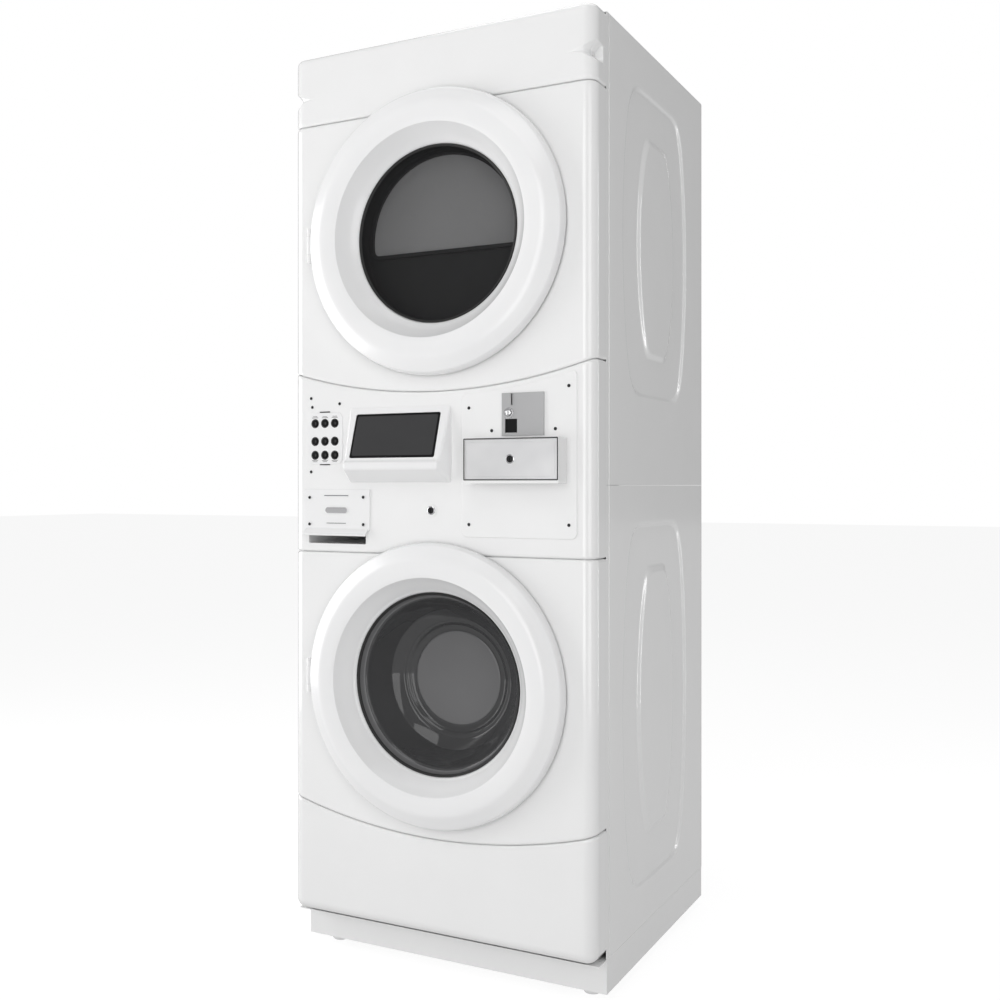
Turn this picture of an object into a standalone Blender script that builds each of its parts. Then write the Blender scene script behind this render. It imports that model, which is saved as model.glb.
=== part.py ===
"""A coin-operated laundry tower: a tumble dryer stacked on a front-loading washer.

Units are metres. +X is right, +Y is the rear and +Z is up, and the origin is the middle of the
footprint on the floor. The front faces -Y. "Proud" is a distance in front of the cabinet's front
plane, so a negative value lies inside the cabinet.
"""

import math

import bmesh
import bpy
from mathutils import Vector

# Overall sizes
WIDTH = 0.686
HEIGHT = 1.915
CABINET_DEPTH = 0.716
DISPLAY_PROUD = 0.045
COLLAR_PROUD = 0.026
FRONT = (DISPLAY_PROUD - CABINET_DEPTH - COLLAR_PROUD) / 2
REAR = FRONT + CABINET_DEPTH
SIDE = WIDTH / 2

# Clearances and sheet
TOUCH = 0.0003
SEAM = 0.0020
RUNNING = 0.0004
SHEET = 0.0015

# Cabinet
CORNER = 0.025
RETURN = 0.065
LIP = 0.004
GROOVE = 0.011
GROOVE_WIDTH = 0.006
GROOVE_DEPTH = 0.002
FOOT_HEIGHT = 0.020
BASE_TOP = 0.088
BASE_SETBACK = 0.066
TOE_CURL = 0.022
TOE_BOTTOM = 0.093
WRAP_SPLIT = 1.002
CONSOLE_BOTTOM = 0.861
FASCIA = 0.147
FASCIA_BOTTOM = HEIGHT - FASCIA
ARCH_RADIUS = 1.18
TOE_ARCH = 0.287
CONSOLE_ARCH = 1.191
TOP_CURL = 0.012
TOP_FLANGE = 0.022
SCOOP_Z = HEIGHT - 0.090
SCOOP_START = CORNER * 0.3
SCOOP_FADE = 1.6
SCOOP_HEIGHT = 0.036
SCOOP_DEPTH = 0.010

# Levelling feet
FOOT_INSET = 0.048
FOOT_PAD = 0.017
FOOT_PAD_HEIGHT = 0.012
FOOT_STEM = 0.005
FOOT_STEM_TOP = 0.075
BRACKET = 0.060

# Doors
DOOR_RADIUS = 0.288
DOOR_WALL = 0.0025
DOOR_GAP = 0.006
CROWN = 0.038
DRYER_AXIS = 1.511
WASHER_AXIS = 0.599
DRYER_FUNNEL = DOOR_RADIUS - 0.074
WASHER_FUNNEL = DOOR_RADIUS - 0.070
DRYER_WINDOW = DRYER_FUNNEL - 0.034
WASHER_WINDOW = WASHER_FUNNEL - 0.032
WINDOW_BACK = 0.009
LINER_PROUD = 0.0095
LINER_WALL = 0.0025
LINER_GAP = 0.0025
LINER_DEPTH = 0.050
INNER_WINDOW = DRYER_WINDOW - 0.010
INNER_WINDOW_SILL = 0.030
GLASS = 0.0030
GLASS_LAP = 0.0120
BOWL_DEPTH = 0.112
BOWL_FLOOR = WASHER_WINDOW - 0.061
BOWL_WALL = 0.004
DRYER_OPENING = DRYER_FUNNEL + 0.011
WASHER_OPENING = WASHER_FUNNEL + 0.014
HINGE_PROUD = 0.010
HINGE_OUT = 0.008
PIN = 0.0030
KNUCKLE = 0.0050
HINGE_HALF = 0.036
KNUCKLE_HALF = 0.019
LEAF = 0.0020
ARM = 0.0030

# Washer internals
TUB_RADIUS = 0.298
TUB_WALL = 0.004
TUB_MOUTH = 0.200
TUB_FRONT = -0.130
TUB_REAR = -0.560
DRUM_RADIUS = TUB_RADIUS - 0.028
DRUM_MOUTH = 0.190
DRUM_WALL = 0.0015
DRUM_FRONT = -0.150
DRUM_REAR = -0.530
SHAFT = 0.0125
SHAFT_END = -0.600
PULLEY = 0.145
PULLEY_FRONT = -0.577
PULLEY_REAR = -0.595
BELT_WIDTH = 0.012
BELT_THICK = 0.003
MOTOR_Z = 0.195
MOTOR_RADIUS = 0.070
MOTOR_FRONT = -0.330
MOTOR_REAR = -0.560
MOTOR_PULLEY = 0.018
MOTOR_SHAFT = 0.008
WEIGHT_HALF = 0.150
WEIGHT_TOP = WASHER_AXIS + 0.346
WEIGHT_FRONT = -0.340
WEIGHT_REAR = -0.520
SPRING_X = TUB_RADIUS - 0.048
SPRING_BOTTOM = WASHER_AXIS + 0.191
SPRING_TOP = WRAP_SPLIT - 0.020
SPRING_DEPTH = -0.350
SPRING_COIL = 0.012
SPRING_WIRE = 0.0022
SPRING_TURNS = 6
LIFTER_HEIGHT = 0.045
LIFTER_GAP = 0.050

# Dryer internals
DRYER_DRUM = SIDE - 0.028
DRYER_DRUM_FRONT = -0.075
DRYER_DRUM_REAR = -0.620
DRYER_MOUTH = 0.215
FLOOR_Z = WRAP_SPLIT + 0.001
FAN_Z = 1.095
DRYER_MOTOR_RADIUS = 0.062
DRYER_MOTOR_FRONT = -0.330
DRYER_MOTOR_REAR = -0.470
FAN_SHAFT = 0.007
FAN_PULLEY = 0.015
FAN_PULLEY_FRONT = -0.285
DRYER_BELT_WIDTH = 0.010
BLOWER_RADIUS = 0.088
BLOWER_FRONT = -0.500
BLOWER_REAR = -0.590
BLOWER_INLET = 0.045
BLOWER_WALL = 0.002
WHEEL_RADIUS = BLOWER_RADIUS - 0.013
COLLAR_RADIUS = 0.051
HEATER_HALF = 0.150
HEATER_DEPTH = 0.055
CHUTE_HALF = 0.130
CHUTE_FRONT = -0.056
CHUTE_REAR = -0.072
CHUTE_TOP = 1.283
CHUTE_FLOOR = 1.095
SCREEN_TOP = 1.300

# Key plate and buttons
KEY_X = -0.2614
KEY_PITCH = 0.0248
KEY_ROWS = (1.133, 1.095, 1.0657)
KEY_RADIUS = 0.0075
KEY_PROUD = 0.0040
KEY_BACK = -0.012
PLATE_HALF = 0.0437
PLATE_BOTTOM = 1.050
PLATE_TOP = 1.152
PLATE_ARCH = 0.008
PLATE = 0.0008

# Display
DISPLAY_LEFT = -0.199
DISPLAY_RIGHT = 0.040
DISPLAY_DRAFT = 0.003
DISPLAY_TOP = 1.163
DISPLAY_SILL = 1.052
DISPLAY_SILL_PROUD = 0.037
DISPLAY_LIP = 1.034
DISPLAY_BOTTOM = 1.008
DISPLAY_WALL = 0.0025
LENS_LEFT = -0.179
LENS_RIGHT = 0.018
LENS_START = 0.13
LENS_END = 0.94

# Coin section
COIN_LEFT = 0.063
COIN_RIGHT = 0.308
COIN_BOTTOM = 0.899
COIN_MARGIN = 0.010
COIN_PLATE = 0.0015
COIN_CORNER = 0.012
ACCEPTOR = (0.153, 0.242, 1.098, 1.1815)
ACCEPTOR_THICK = 0.0030
SLOT_X = 0.1745
SLOT = (1.158, 1.1800)
SLOT_WIDTH = 0.0030
CUP = (0.160, 0.186, 1.104, 1.131)
RETURN_X = 0.168
RETURN_Z = 1.143
RETURN_RADIUS = 0.0060
VAULT = (0.0883, 0.2878, 1.0055, 1.0933)
VAULT_WALL = 0.0030
VAULT_FLOOR = 0.0080
VAULT_PROUD = 0.0435
VAULT_FACE = 0.0040
VAULT_BACK = -0.050
VAULT_BOX_INSET = 0.0045
LOCK_X = 0.188
LOCK_Z = 1.052
LOCK_RADIUS = 0.0065
SERVICE_X = -0.006
SERVICE_Z = 0.951
SERVICE_RADIUS = 0.0060

# Detergent drawer
DRAWER = (-0.313, -0.150, 0.9075, 0.9935)
DRAWER_FACE = 0.0020
HANDLE_BOTTOM = 0.8960
HANDLE_PROUD = 0.0140
TRAY_INSET = 0.0120
TRAY_BACK = -0.225
TRAY_WALL = 0.0020
RECESS_BOTTOM = 0.8790
HOUSING_WALL = 0.0020

# Colours: linear red, green and blue, roughness, metallic
FINISHES = {
    "white_enamel": ((0.83, 0.83, 0.83), 0.25, 0.0),
    "white_plastic": ((0.80, 0.80, 0.80), 0.35, 0.0),
    "galvanised": ((0.45, 0.46, 0.47), 0.45, 1.0),
    "stainless": ((0.55, 0.55, 0.55), 0.30, 1.0),
    "black_plastic": ((0.02, 0.02, 0.02), 0.40, 0.0),
    "dark_plastic": ((0.06, 0.06, 0.06), 0.40, 0.0),
    "grey_plastic": ((0.35, 0.35, 0.36), 0.45, 0.0),
    "rubber": ((0.03, 0.03, 0.03), 0.70, 0.0),
    "grey_rubber": ((0.25, 0.25, 0.26), 0.60, 0.0),
    "glass": ((0.60, 0.62, 0.63), 0.05, 0.0),
    "iron": ((0.12, 0.12, 0.12), 0.60, 1.0),
}

parts = None
helpers = None


def start_scene():
    """Empty the scene and make the collection of parts and the one of cutters."""
    global parts, helpers
    for old in list(bpy.data.objects):
        bpy.data.objects.remove(old, do_unlink=True)
    parts = bpy.data.collections.new("laundry_tower")
    helpers = bpy.data.collections.new("cutters")
    for collection in (parts, helpers):
        bpy.context.scene.collection.children.link(collection)


def finish(name):
    """The material with this name, made on first use."""
    found = bpy.data.materials.get(name)
    if found:
        return found
    colour, roughness, metallic = FINISHES[name]
    made = bpy.data.materials.new(name)
    made.use_nodes = True
    shader = made.node_tree.nodes["Principled BSDF"]
    shader.inputs["Base Color"].default_value = (*colour, 1.0)
    shader.inputs["Roughness"].default_value = roughness
    shader.inputs["Metallic"].default_value = metallic
    return made


def place(name, mesh, material=None, at=(0.0, 0.0, 0.0)):
    """A part with its material, or a hidden cutter where no material is given."""
    made = bpy.data.objects.new(name, mesh)
    made.location = at
    if material:
        parts.objects.link(made)
        mesh.materials.append(finish(material))
    else:
        helpers.objects.link(made)
        made.hide_render = True
        made.display_type = "WIRE"
    return made


def from_bmesh(name, shape, material=None, at=(0.0, 0.0, 0.0)):
    bmesh.ops.recalc_face_normals(shape, faces=shape.faces)
    mesh = bpy.data.meshes.new(name)
    shape.to_mesh(mesh)
    shape.free()
    return place(name, mesh, material, at)


def box(name, low, high, material=None):
    """A box between two corners, with its origin at its middle."""
    low, high = Vector(low), Vector(high)
    shape = bmesh.new()
    bmesh.ops.create_cube(shape, size=1.0)
    bmesh.ops.scale(shape, vec=high - low, verts=shape.verts)
    return from_bmesh(name, shape, material, (low + high) / 2)


def front_box(name, left, right, bottom, top, back, front, material=None):
    """A box given by its sides and how proud of the cabinet's front its two faces stand."""
    return box(name, (left, FRONT - front, bottom), (right, FRONT - back, top), material)


def turned(name, profile, at, material=None, segments=40, open_ends=False):
    """A shape turned about the Y axis through (x, z). The profile holds (radius, proud) points."""
    area = 0.0
    for (r0, h0), (r1, h1) in zip(profile, profile[1:] + profile[:1]):
        area += r0 * h1 - r1 * h0
    if area > 0:
        profile = profile[::-1]
    shape = bmesh.new()
    points = [shape.verts.new((radius, 0.0, proud)) for radius, proud in profile]
    ring = points if open_ends else points + points[:1]
    for first, second in zip(ring, ring[1:]):
        shape.edges.new((first, second))
    mesh = bpy.data.meshes.new(name)
    shape.to_mesh(mesh)
    shape.free()
    made = place(name, mesh, material, (at[0], FRONT, at[1]))
    made.rotation_euler = (math.pi / 2, 0.0, 0.0)
    screw = made.modifiers.new("Turn", "SCREW")
    screw.steps = segments
    screw.render_steps = segments
    screw.use_merge_vertices = True
    screw.merge_threshold = 1e-5
    screw.use_smooth_shade = True
    return made


def rod(name, radius, back, front, at, material=None, segments=24):
    """A plain cylinder along Y."""
    profile = [(0.0, front), (radius, front), (radius, back), (0.0, back)]
    return turned(name, profile, at, material, segments, open_ends=True)


def upright(name, radius, bottom, top, at, material=None, segments=16):
    """A plain cylinder along Z."""
    shape = bmesh.new()
    bmesh.ops.create_cone(
        shape, cap_ends=True, segments=segments, radius1=radius, radius2=radius, depth=top - bottom
    )
    return from_bmesh(name, shape, material, (at[0], at[1], (bottom + top) / 2))


def thicken(outer, wall):
    """A closed profile: this outer line, and the same line moved inwards by the wall."""
    inner = []
    for i, (radius, proud) in enumerate(outer):
        before = Vector(outer[max(i - 1, 0)])
        after = Vector(outer[min(i + 1, len(outer) - 1)])
        along = (after - before).normalized()
        inner.append((radius - along.y * wall, proud + along.x * wall))
    return outer + inner[::-1]


def extruded(name, outline, back, front, material=None):
    """A flat outline of (x, z) points, as thick as the two proud distances make it."""
    curve = bpy.data.curves.new(name, "CURVE")
    curve.dimensions = "2D"
    curve.fill_mode = "BOTH"
    curve.extrude = (front - back) / 2
    line = curve.splines.new("POLY")
    line.points.add(len(outline) - 1)
    for point, (x, z) in zip(line.points, outline):
        point.co = (x, z, 0.0, 1.0)
    line.use_cyclic_u = True
    drawn = bpy.data.objects.new(name + "_outline", curve)
    parts.objects.link(drawn)
    drawn.rotation_euler = (math.pi / 2, 0.0, 0.0)
    drawn.location = (0.0, FRONT - (front + back) / 2, 0.0)
    bpy.context.view_layer.update()
    graph = bpy.context.evaluated_depsgraph_get()
    mesh = bpy.data.meshes.new_from_object(drawn.evaluated_get(graph))
    shape = bmesh.new()
    shape.from_mesh(mesh)
    bmesh.ops.remove_doubles(shape, verts=shape.verts, dist=1e-6)
    bmesh.ops.recalc_face_normals(shape, faces=shape.faces)
    shape.to_mesh(mesh)
    shape.free()
    mesh.materials.clear()
    mesh.name = name
    made = place(name, mesh, material)
    made.matrix_world = drawn.matrix_world.copy()
    bpy.data.objects.remove(drawn, do_unlink=True)
    bpy.data.curves.remove(curve)
    return made


def sheet_of(name, rows, material, thickness=SHEET, closed=False):
    """A sheet through rows of points, thickened away from the side that its faces look at."""
    shape = bmesh.new()
    grid = [[shape.verts.new(point) for point in row] for row in rows]
    for lower, upper in zip(grid, grid[1:]):
        count = len(lower)
        for j in range(count if closed else count - 1):
            k = (j + 1) % count
            shape.faces.new((lower[j], lower[k], upper[k], upper[j]))
    mesh = bpy.data.meshes.new(name)
    shape.to_mesh(mesh)
    shape.free()
    made = place(name, mesh, material)
    solid = made.modifiers.new("Sheet", "SOLIDIFY")
    solid.thickness = thickness
    solid.offset = -1.0
    mesh.shade_smooth()
    mesh.set_sharp_from_angle(angle=math.radians(35))
    return made


def combine(part, tool, operation):
    """Cut a helper from a part, or join it to the part."""
    boolean = part.modifiers.new(operation.title() + " " + tool.name, "BOOLEAN")
    boolean.operation = operation
    boolean.object = tool
    boolean.solver = "EXACT"
    return part


def cut(part, tool):
    return combine(part, tool, "DIFFERENCE")


def join(part, tool):
    return combine(part, tool, "UNION")


def hang_on(name, at, children):
    """An empty on a joint's axis that carries the pieces that move about or along it."""
    carrier = bpy.data.objects.new(name, None)
    carrier.location = at
    parts.objects.link(carrier)
    for child in children:
        child.parent = carrier
        child.location = child.location - Vector(at)


# Cabinet


def arch(lowest):
    """The height of an arched seam, lowest in the middle, at each x."""
    return lambda x: lowest + ARCH_RADIUS - math.sqrt(ARCH_RADIUS**2 - x * x)


def level(z):
    return lambda x: z


def front_path(inset, front_steps=14, corner_steps=4):
    """Plan points round the front: up the left return, across the front, down the right one."""
    radius = CORNER - inset
    left = []
    for i in range(corner_steps + 1):
        turn = math.pi + math.pi / 2 * i / corner_steps
        left.append((-SIDE + CORNER + radius * math.cos(turn), FRONT + CORNER + radius * math.sin(turn)))
    flat = SIDE - CORNER
    middle = [(-flat + 2 * flat * i / front_steps, FRONT + inset) for i in range(1, front_steps)]
    back = FRONT + RETURN - TOUCH
    right = [(-x, y) for x, y in reversed(left)]
    return [(-SIDE + inset, back)] + left + middle + right + [(SIDE - inset, back)]


def front_shell(name, rows, front_steps=14):
    """A front panel from rows of (inset, height rule): a bent sheet with turned-in edges."""
    plan = front_path(0.0, front_steps)
    points = []
    for inset, height in rows:
        here = front_path(inset, front_steps)
        points.append([(x, y, height(px)) for (x, y), (px, _) in zip(here, plan)])
    return sheet_of(name, points, "white_enamel")


def seam_rows(height, direction):
    """The turned-in edge along a seam, from the edge inwards. Direction is +1 at a lower edge."""
    steps = ((LIP, 0.0), (LIP * 0.3, LIP * 0.35), (0.0, LIP * 1.2))
    edge = SEAM / 2
    rows = []
    for inset, rise in steps:
        rows.append((inset, lambda x, rise=rise: height(x) + direction * (edge + rise)))
    return rows


def plain_panel(name, bottom, top):
    return front_shell(name, seam_rows(bottom, 1) + seam_rows(top, -1)[::-1])


def make_fascia():
    """The panel above the dryer door, curled over at the top, with a scoop in each corner."""
    rows = seam_rows(level(FASCIA_BOTTOM), 1)
    points = []
    plan = front_path(0.0)
    for inset, height in rows:
        points.append([(x, y, height(px)) for (x, y), (px, _) in zip(front_path(inset), plan)])
    for share, depth in ((-0.5, 0.0), (-0.25, 1.0), (0.25, 1.0), (0.5, 0.0)):
        row = []
        for (x, y), (deep_x, deep_y) in zip(plan, front_path(SCOOP_DEPTH)):
            at_corner = max(0.0, 1.0 - abs(y - FRONT - SCOOP_START) / CORNER)
            if abs(x) < SIDE - CORNER:
                at_corner = 0.0
            weight = depth * min(1.0, SCOOP_FADE * at_corner)
            height = SCOOP_Z + share * SCOOP_HEIGHT
            row.append((x + (deep_x - x) * weight, y + (deep_y - y) * weight, height))
        points.append(row)
    for step in range(5):
        turn = math.pi / 2 * step / 4
        inset = TOP_CURL * (1 - math.cos(turn))
        height = HEIGHT - TOP_CURL * (1 - math.sin(turn))
        points.append([(x, y, height) for x, y in front_path(inset)])
    points.append([(x, y, HEIGHT) for x, y in front_path(TOP_FLANGE)])
    return sheet_of("top_fascia", points, "white_enamel")


def make_toe():
    rows = []
    for step in range(4):
        turn = math.pi / 2 * step / 3
        inset = TOE_CURL * (1 - math.sin(turn))
        rows.append((inset, level(TOE_BOTTOM + TOE_CURL * (1 - math.cos(turn)))))
    return front_shell("toe_panel", rows + seam_rows(arch(TOE_ARCH), -1)[::-1])


def make_wrap(name, bottom, top):
    """Both sides and the rear in one sheet, with a groove behind each front edge."""
    start = FRONT + RETURN
    groove = (
        (SIDE, start),
        (SIDE, start + GROOVE),
        (SIDE - GROOVE_DEPTH, start + GROOVE + GROOVE_DEPTH),
        (SIDE - GROOVE_DEPTH, start + GROOVE + GROOVE_WIDTH - GROOVE_DEPTH),
        (SIDE, start + GROOVE + GROOVE_WIDTH),
    )
    plan = list(groove) + [(SIDE, REAR), (-SIDE, REAR)] + [(-x, y) for x, y in reversed(groove)]
    return sheet_of(name, [[(x, y, z) for x, y in plan] for z in (bottom, top)], "white_enamel")


def make_base():
    """The plinth: a box open below, a floor pan that runs forward over it, and foot brackets."""
    front = FRONT + BASE_SETBACK
    plan = [(-SIDE, front), (SIDE, front), (SIDE, REAR), (-SIDE, REAR)]
    bottom, top = FOOT_HEIGHT, BASE_TOP - SHEET
    rows = [[(x, y, z) for x, y in plan] for z in (bottom, top)]
    walls = sheet_of("base_frame", rows, "white_enamel", closed=True)
    pan = box("base_pan", (-SIDE, FRONT + CORNER, top - SHEET), (SIDE, REAR, BASE_TOP - TOUCH))
    join(walls, pan)
    for x, y in foot_places():
        inner_x = x - math.copysign(BRACKET / 2, x)
        outer_x = math.copysign(SIDE - SHEET / 2, x)
        middle = (front + REAR) / 2
        inner_y = y - math.copysign(BRACKET / 2, y - middle)
        outer_y = middle + math.copysign((REAR - front) / 2 - SHEET / 2, y - middle)
        low = (min(inner_x, outer_x), min(inner_y, outer_y), bottom + SHEET)
        high = (max(inner_x, outer_x), max(inner_y, outer_y), bottom + 3 * SHEET)
        join(walls, box("foot_bracket", low, high))
    for x, y in foot_places():
        cut(walls, upright("foot_hole", FOOT_STEM + RUNNING, 0.0, 2 * FOOT_HEIGHT, (x, y)))
    return walls


def foot_places():
    front = FRONT + BASE_SETBACK + FOOT_INSET
    return [(x, y) for y in (front, REAR - FOOT_INSET) for x in (-SIDE + FOOT_INSET, SIDE - FOOT_INSET)]


def make_feet():
    ends = ("front_left", "front_right", "rear_left", "rear_right")
    for end, (x, y) in zip(ends, foot_places()):
        foot = upright(f"levelling_foot_{end}", FOOT_PAD, 0.0, FOOT_PAD_HEIGHT, (x, y), "grey_plastic", 20)
        bevel = foot.modifiers.new("Edge", "BEVEL")
        bevel.width = 0.002
        bevel.segments = 1
        bevel.angle_limit = math.radians(60)
        join(foot, upright("foot_stem", FOOT_STEM, FOOT_PAD_HEIGHT / 2, FOOT_STEM_TOP, (x, y)))


def make_top():
    low, high = HEIGHT - SHEET, HEIGHT
    back = FRONT + RETURN + TOUCH
    plate = box("top_panel", (-SIDE, back, low), (SIDE, REAR, high), "white_enamel")
    for reach, front in ((SIDE - TOP_FLANGE, FRONT + CORNER), (SIDE - CORNER, FRONT + TOP_FLANGE)):
        reach -= TOUCH
        join(plate, box("top_tongue", (-reach, front + TOUCH, low), (reach, back + RETURN, high)))
    return plate


def make_floor():
    """The dryer's floor pan, with the lint chute and the two spring hooks."""
    inside = SIDE - SHEET - GROOVE_DEPTH - 2 * TOUCH
    low, high = FLOOR_Z, FLOOR_Z + SHEET
    front_edge = FRONT + CORNER + SHEET
    rear_edge = REAR - SHEET - TOUCH
    pan = box("dryer_floor", (-inside, front_edge, low), (inside, rear_edge, high), "galvanised")
    chute = front_box("chute", -CHUTE_HALF, CHUTE_HALF, low + SHEET / 2, CHUTE_TOP, CHUTE_REAR, CHUTE_FRONT)
    join(pan, chute)
    wall = 2 * SHEET
    half = CHUTE_HALF - wall
    pocket = front_box(
        "chute_pocket", -half, half, CHUTE_FLOOR, CHUTE_TOP + wall, CHUTE_REAR + SHEET, CHUTE_FRONT - SHEET
    )
    cut(pan, pocket)
    for side in (-1, 1):
        x = side * SPRING_X
        join(pan, front_box("spring_hook", x - 0.014, x + 0.014, SPRING_TOP + TOUCH, high - SHEET / 2,
                            SPRING_DEPTH - 0.006, SPRING_DEPTH + 0.006))
    return pan


def make_cabinet():
    make_base()
    make_feet()
    make_wrap("washer_cabinet", BASE_TOP, WRAP_SPLIT - TOUCH)
    dryer = make_wrap("dryer_cabinet", WRAP_SPLIT + TOUCH, HEIGHT - SHEET - TOUCH)
    duct_hole = COLLAR_RADIUS + 3 * SHEET
    cut(dryer, rod("exhaust_hole", duct_hole, -CABINET_DEPTH - 0.05, -CABINET_DEPTH + 0.05, (0.0, FAN_Z),
                   segments=32))
    make_top()
    make_floor()
    make_fascia()
    dryer_front = plain_panel("dryer_front_panel", arch(CONSOLE_ARCH), level(FASCIA_BOTTOM))
    cut(dryer_front, rod("dryer_mouth", DRYER_OPENING, -0.05, 0.05, (0.0, DRYER_AXIS), segments=40))
    washer_front = plain_panel("washer_front_panel", arch(TOE_ARCH), level(CONSOLE_BOTTOM))
    cut(washer_front, rod("washer_mouth", WASHER_OPENING, -0.05, 0.05, (0.0, WASHER_AXIS), segments=40))
    make_toe()


# Console


def key_places():
    return [(KEY_X + (column - 1) * KEY_PITCH, z) for z in KEY_ROWS for column in range(3)]


def make_keys(console):
    """The key plate with its arched top and bottom, and its nine buttons."""
    steps = 6
    upper = [(KEY_X + PLATE_HALF * (1 - 2 * i / steps), PLATE_TOP) for i in range(steps + 1)]
    top = [(x, z + PLATE_ARCH * (1 - ((x - KEY_X) / PLATE_HALF) ** 2)) for x, z in upper]
    bottom = [(x, PLATE_BOTTOM - (z - PLATE_TOP)) for x, z in reversed(top)]
    plate = extruded("key_plate", bottom + top, TOUCH, TOUCH + PLATE, "white_plastic")
    for row, names in enumerate(("dryer", "cycle", "washer")):
        for column, (x, z) in enumerate(key_places()[3 * row:3 * row + 3]):
            profile = [
                (0.0, KEY_PROUD),
                (KEY_RADIUS * 0.75, KEY_PROUD),
                (KEY_RADIUS, KEY_PROUD * 0.7),
                (KEY_RADIUS, KEY_BACK),
                (0.0, KEY_BACK),
            ]
            turned(f"button_{names}_{column + 1}", profile, (x, z), "black_plastic", 12, open_ends=True)
            hole = rod("key_hole", KEY_RADIUS + 3 * TOUCH, -0.02, 0.02, (x, z), segments=12)
            cut(console, hole)
            cut(plate, hole)


def display_section(x, share):
    """One end of the display housing: its side outline, drawn in by the draft at the front."""
    line = (
        (TOUCH, DISPLAY_TOP),
        (DISPLAY_SILL_PROUD, DISPLAY_SILL),
        (DISPLAY_PROUD, DISPLAY_SILL - 0.003),
        (DISPLAY_PROUD, DISPLAY_LIP),
        (TOUCH, DISPLAY_BOTTOM),
    )
    return [(x - share * DISPLAY_DRAFT * proud / DISPLAY_PROUD, FRONT - proud, z) for proud, z in line]


def make_display():
    """The sloping display housing, hollow and open at its back, and the lens set into its slope."""
    left = display_section(DISPLAY_LEFT, -1)
    right = display_section(DISPLAY_RIGHT, 1)
    shape = bmesh.new()
    sides = [[shape.verts.new(point) for point in end] for end in (left, right)]
    for (a, b), (c, d) in zip(zip(sides[0], sides[0][1:]), zip(sides[1], sides[1][1:])):
        shape.faces.new((a, b, d, c))
    for end in sides:
        shape.faces.new(end)
    bmesh.ops.recalc_face_normals(shape, faces=shape.faces)
    if shape.faces[0].normal.y > 0:
        bmesh.ops.reverse_faces(shape, faces=shape.faces)
    mesh = bpy.data.meshes.new("display_housing")
    shape.to_mesh(mesh)
    shape.free()
    housing = place("display_housing", mesh, "white_plastic")
    solid = housing.modifiers.new("Wall", "SOLIDIFY")
    solid.thickness = DISPLAY_WALL
    solid.offset = -1.0
    solid.use_even_offset = True
    edge = 4 * DISPLAY_WALL
    cut(housing, front_box("display_trim", DISPLAY_LEFT - edge, DISPLAY_RIGHT + edge, DISPLAY_BOTTOM - edge,
                           DISPLAY_TOP + edge, -edge, TOUCH))
    top = Vector((0.0, FRONT - TOUCH, DISPLAY_TOP))
    sill = Vector((0.0, FRONT - DISPLAY_SILL_PROUD, DISPLAY_SILL))
    slope = sill - top
    lean = math.atan2(slope.y, slope.z)
    window = (LENS_END - LENS_START) * slope.length
    centre = top + slope * (LENS_START + LENS_END) / 2
    outward = Vector((0.0, slope.z, -slope.y)).normalized()
    if outward.y > 0:
        outward = -outward
    for name, extra, thickness, sink, material in (
        ("display_window", TOUCH, 0.02, 0.0, None),
        ("display_lens", 0.0, 0.0020, 0.0012, "black_plastic"),
    ):
        piece = box(name, (LENS_LEFT - extra, -thickness / 2, -window / 2 - extra),
                    (LENS_RIGHT + extra, thickness / 2, window / 2 + extra), material)
        piece.location = centre - outward * sink + Vector(((LENS_LEFT + LENS_RIGHT) / 2, 0.0, 0.0))
        piece.rotation_euler = (-lean + math.pi, 0.0, 0.0)
        if material is None:
            cut(housing, piece)


def coin_outline():
    """The coin door: rounded corners, and a top edge that follows the arched seam."""
    seam = arch(CONSOLE_ARCH)
    r = COIN_CORNER
    corner = [(1 - math.cos(math.pi / 2 * i / 3), 1 - math.sin(math.pi / 2 * i / 3)) for i in range(4)]
    left, right, low = COIN_LEFT, COIN_RIGHT, COIN_BOTTOM
    outline = [(left + r * a, low + r * b) for a, b in corner]
    outline += [(right - r * a, low + r * b) for a, b in reversed(corner)]
    top_right = seam(right) - COIN_MARGIN
    outline += [(right - r * a, top_right - r * b) for a, b in corner]
    inner = [right - r - (right - left - 2 * r) * i / 6 for i in range(1, 6)]
    outline += [(x, seam(x) - COIN_MARGIN) for x in inner]
    top_left = seam(left) - COIN_MARGIN
    return outline + [(left + r * a, top_left - r * b) for a, b in reversed(corner)]


def vault_inside():
    left, right, low, high = VAULT
    return left + VAULT_WALL, right - VAULT_WALL, low + VAULT_FLOOR, high - VAULT_WALL


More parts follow.
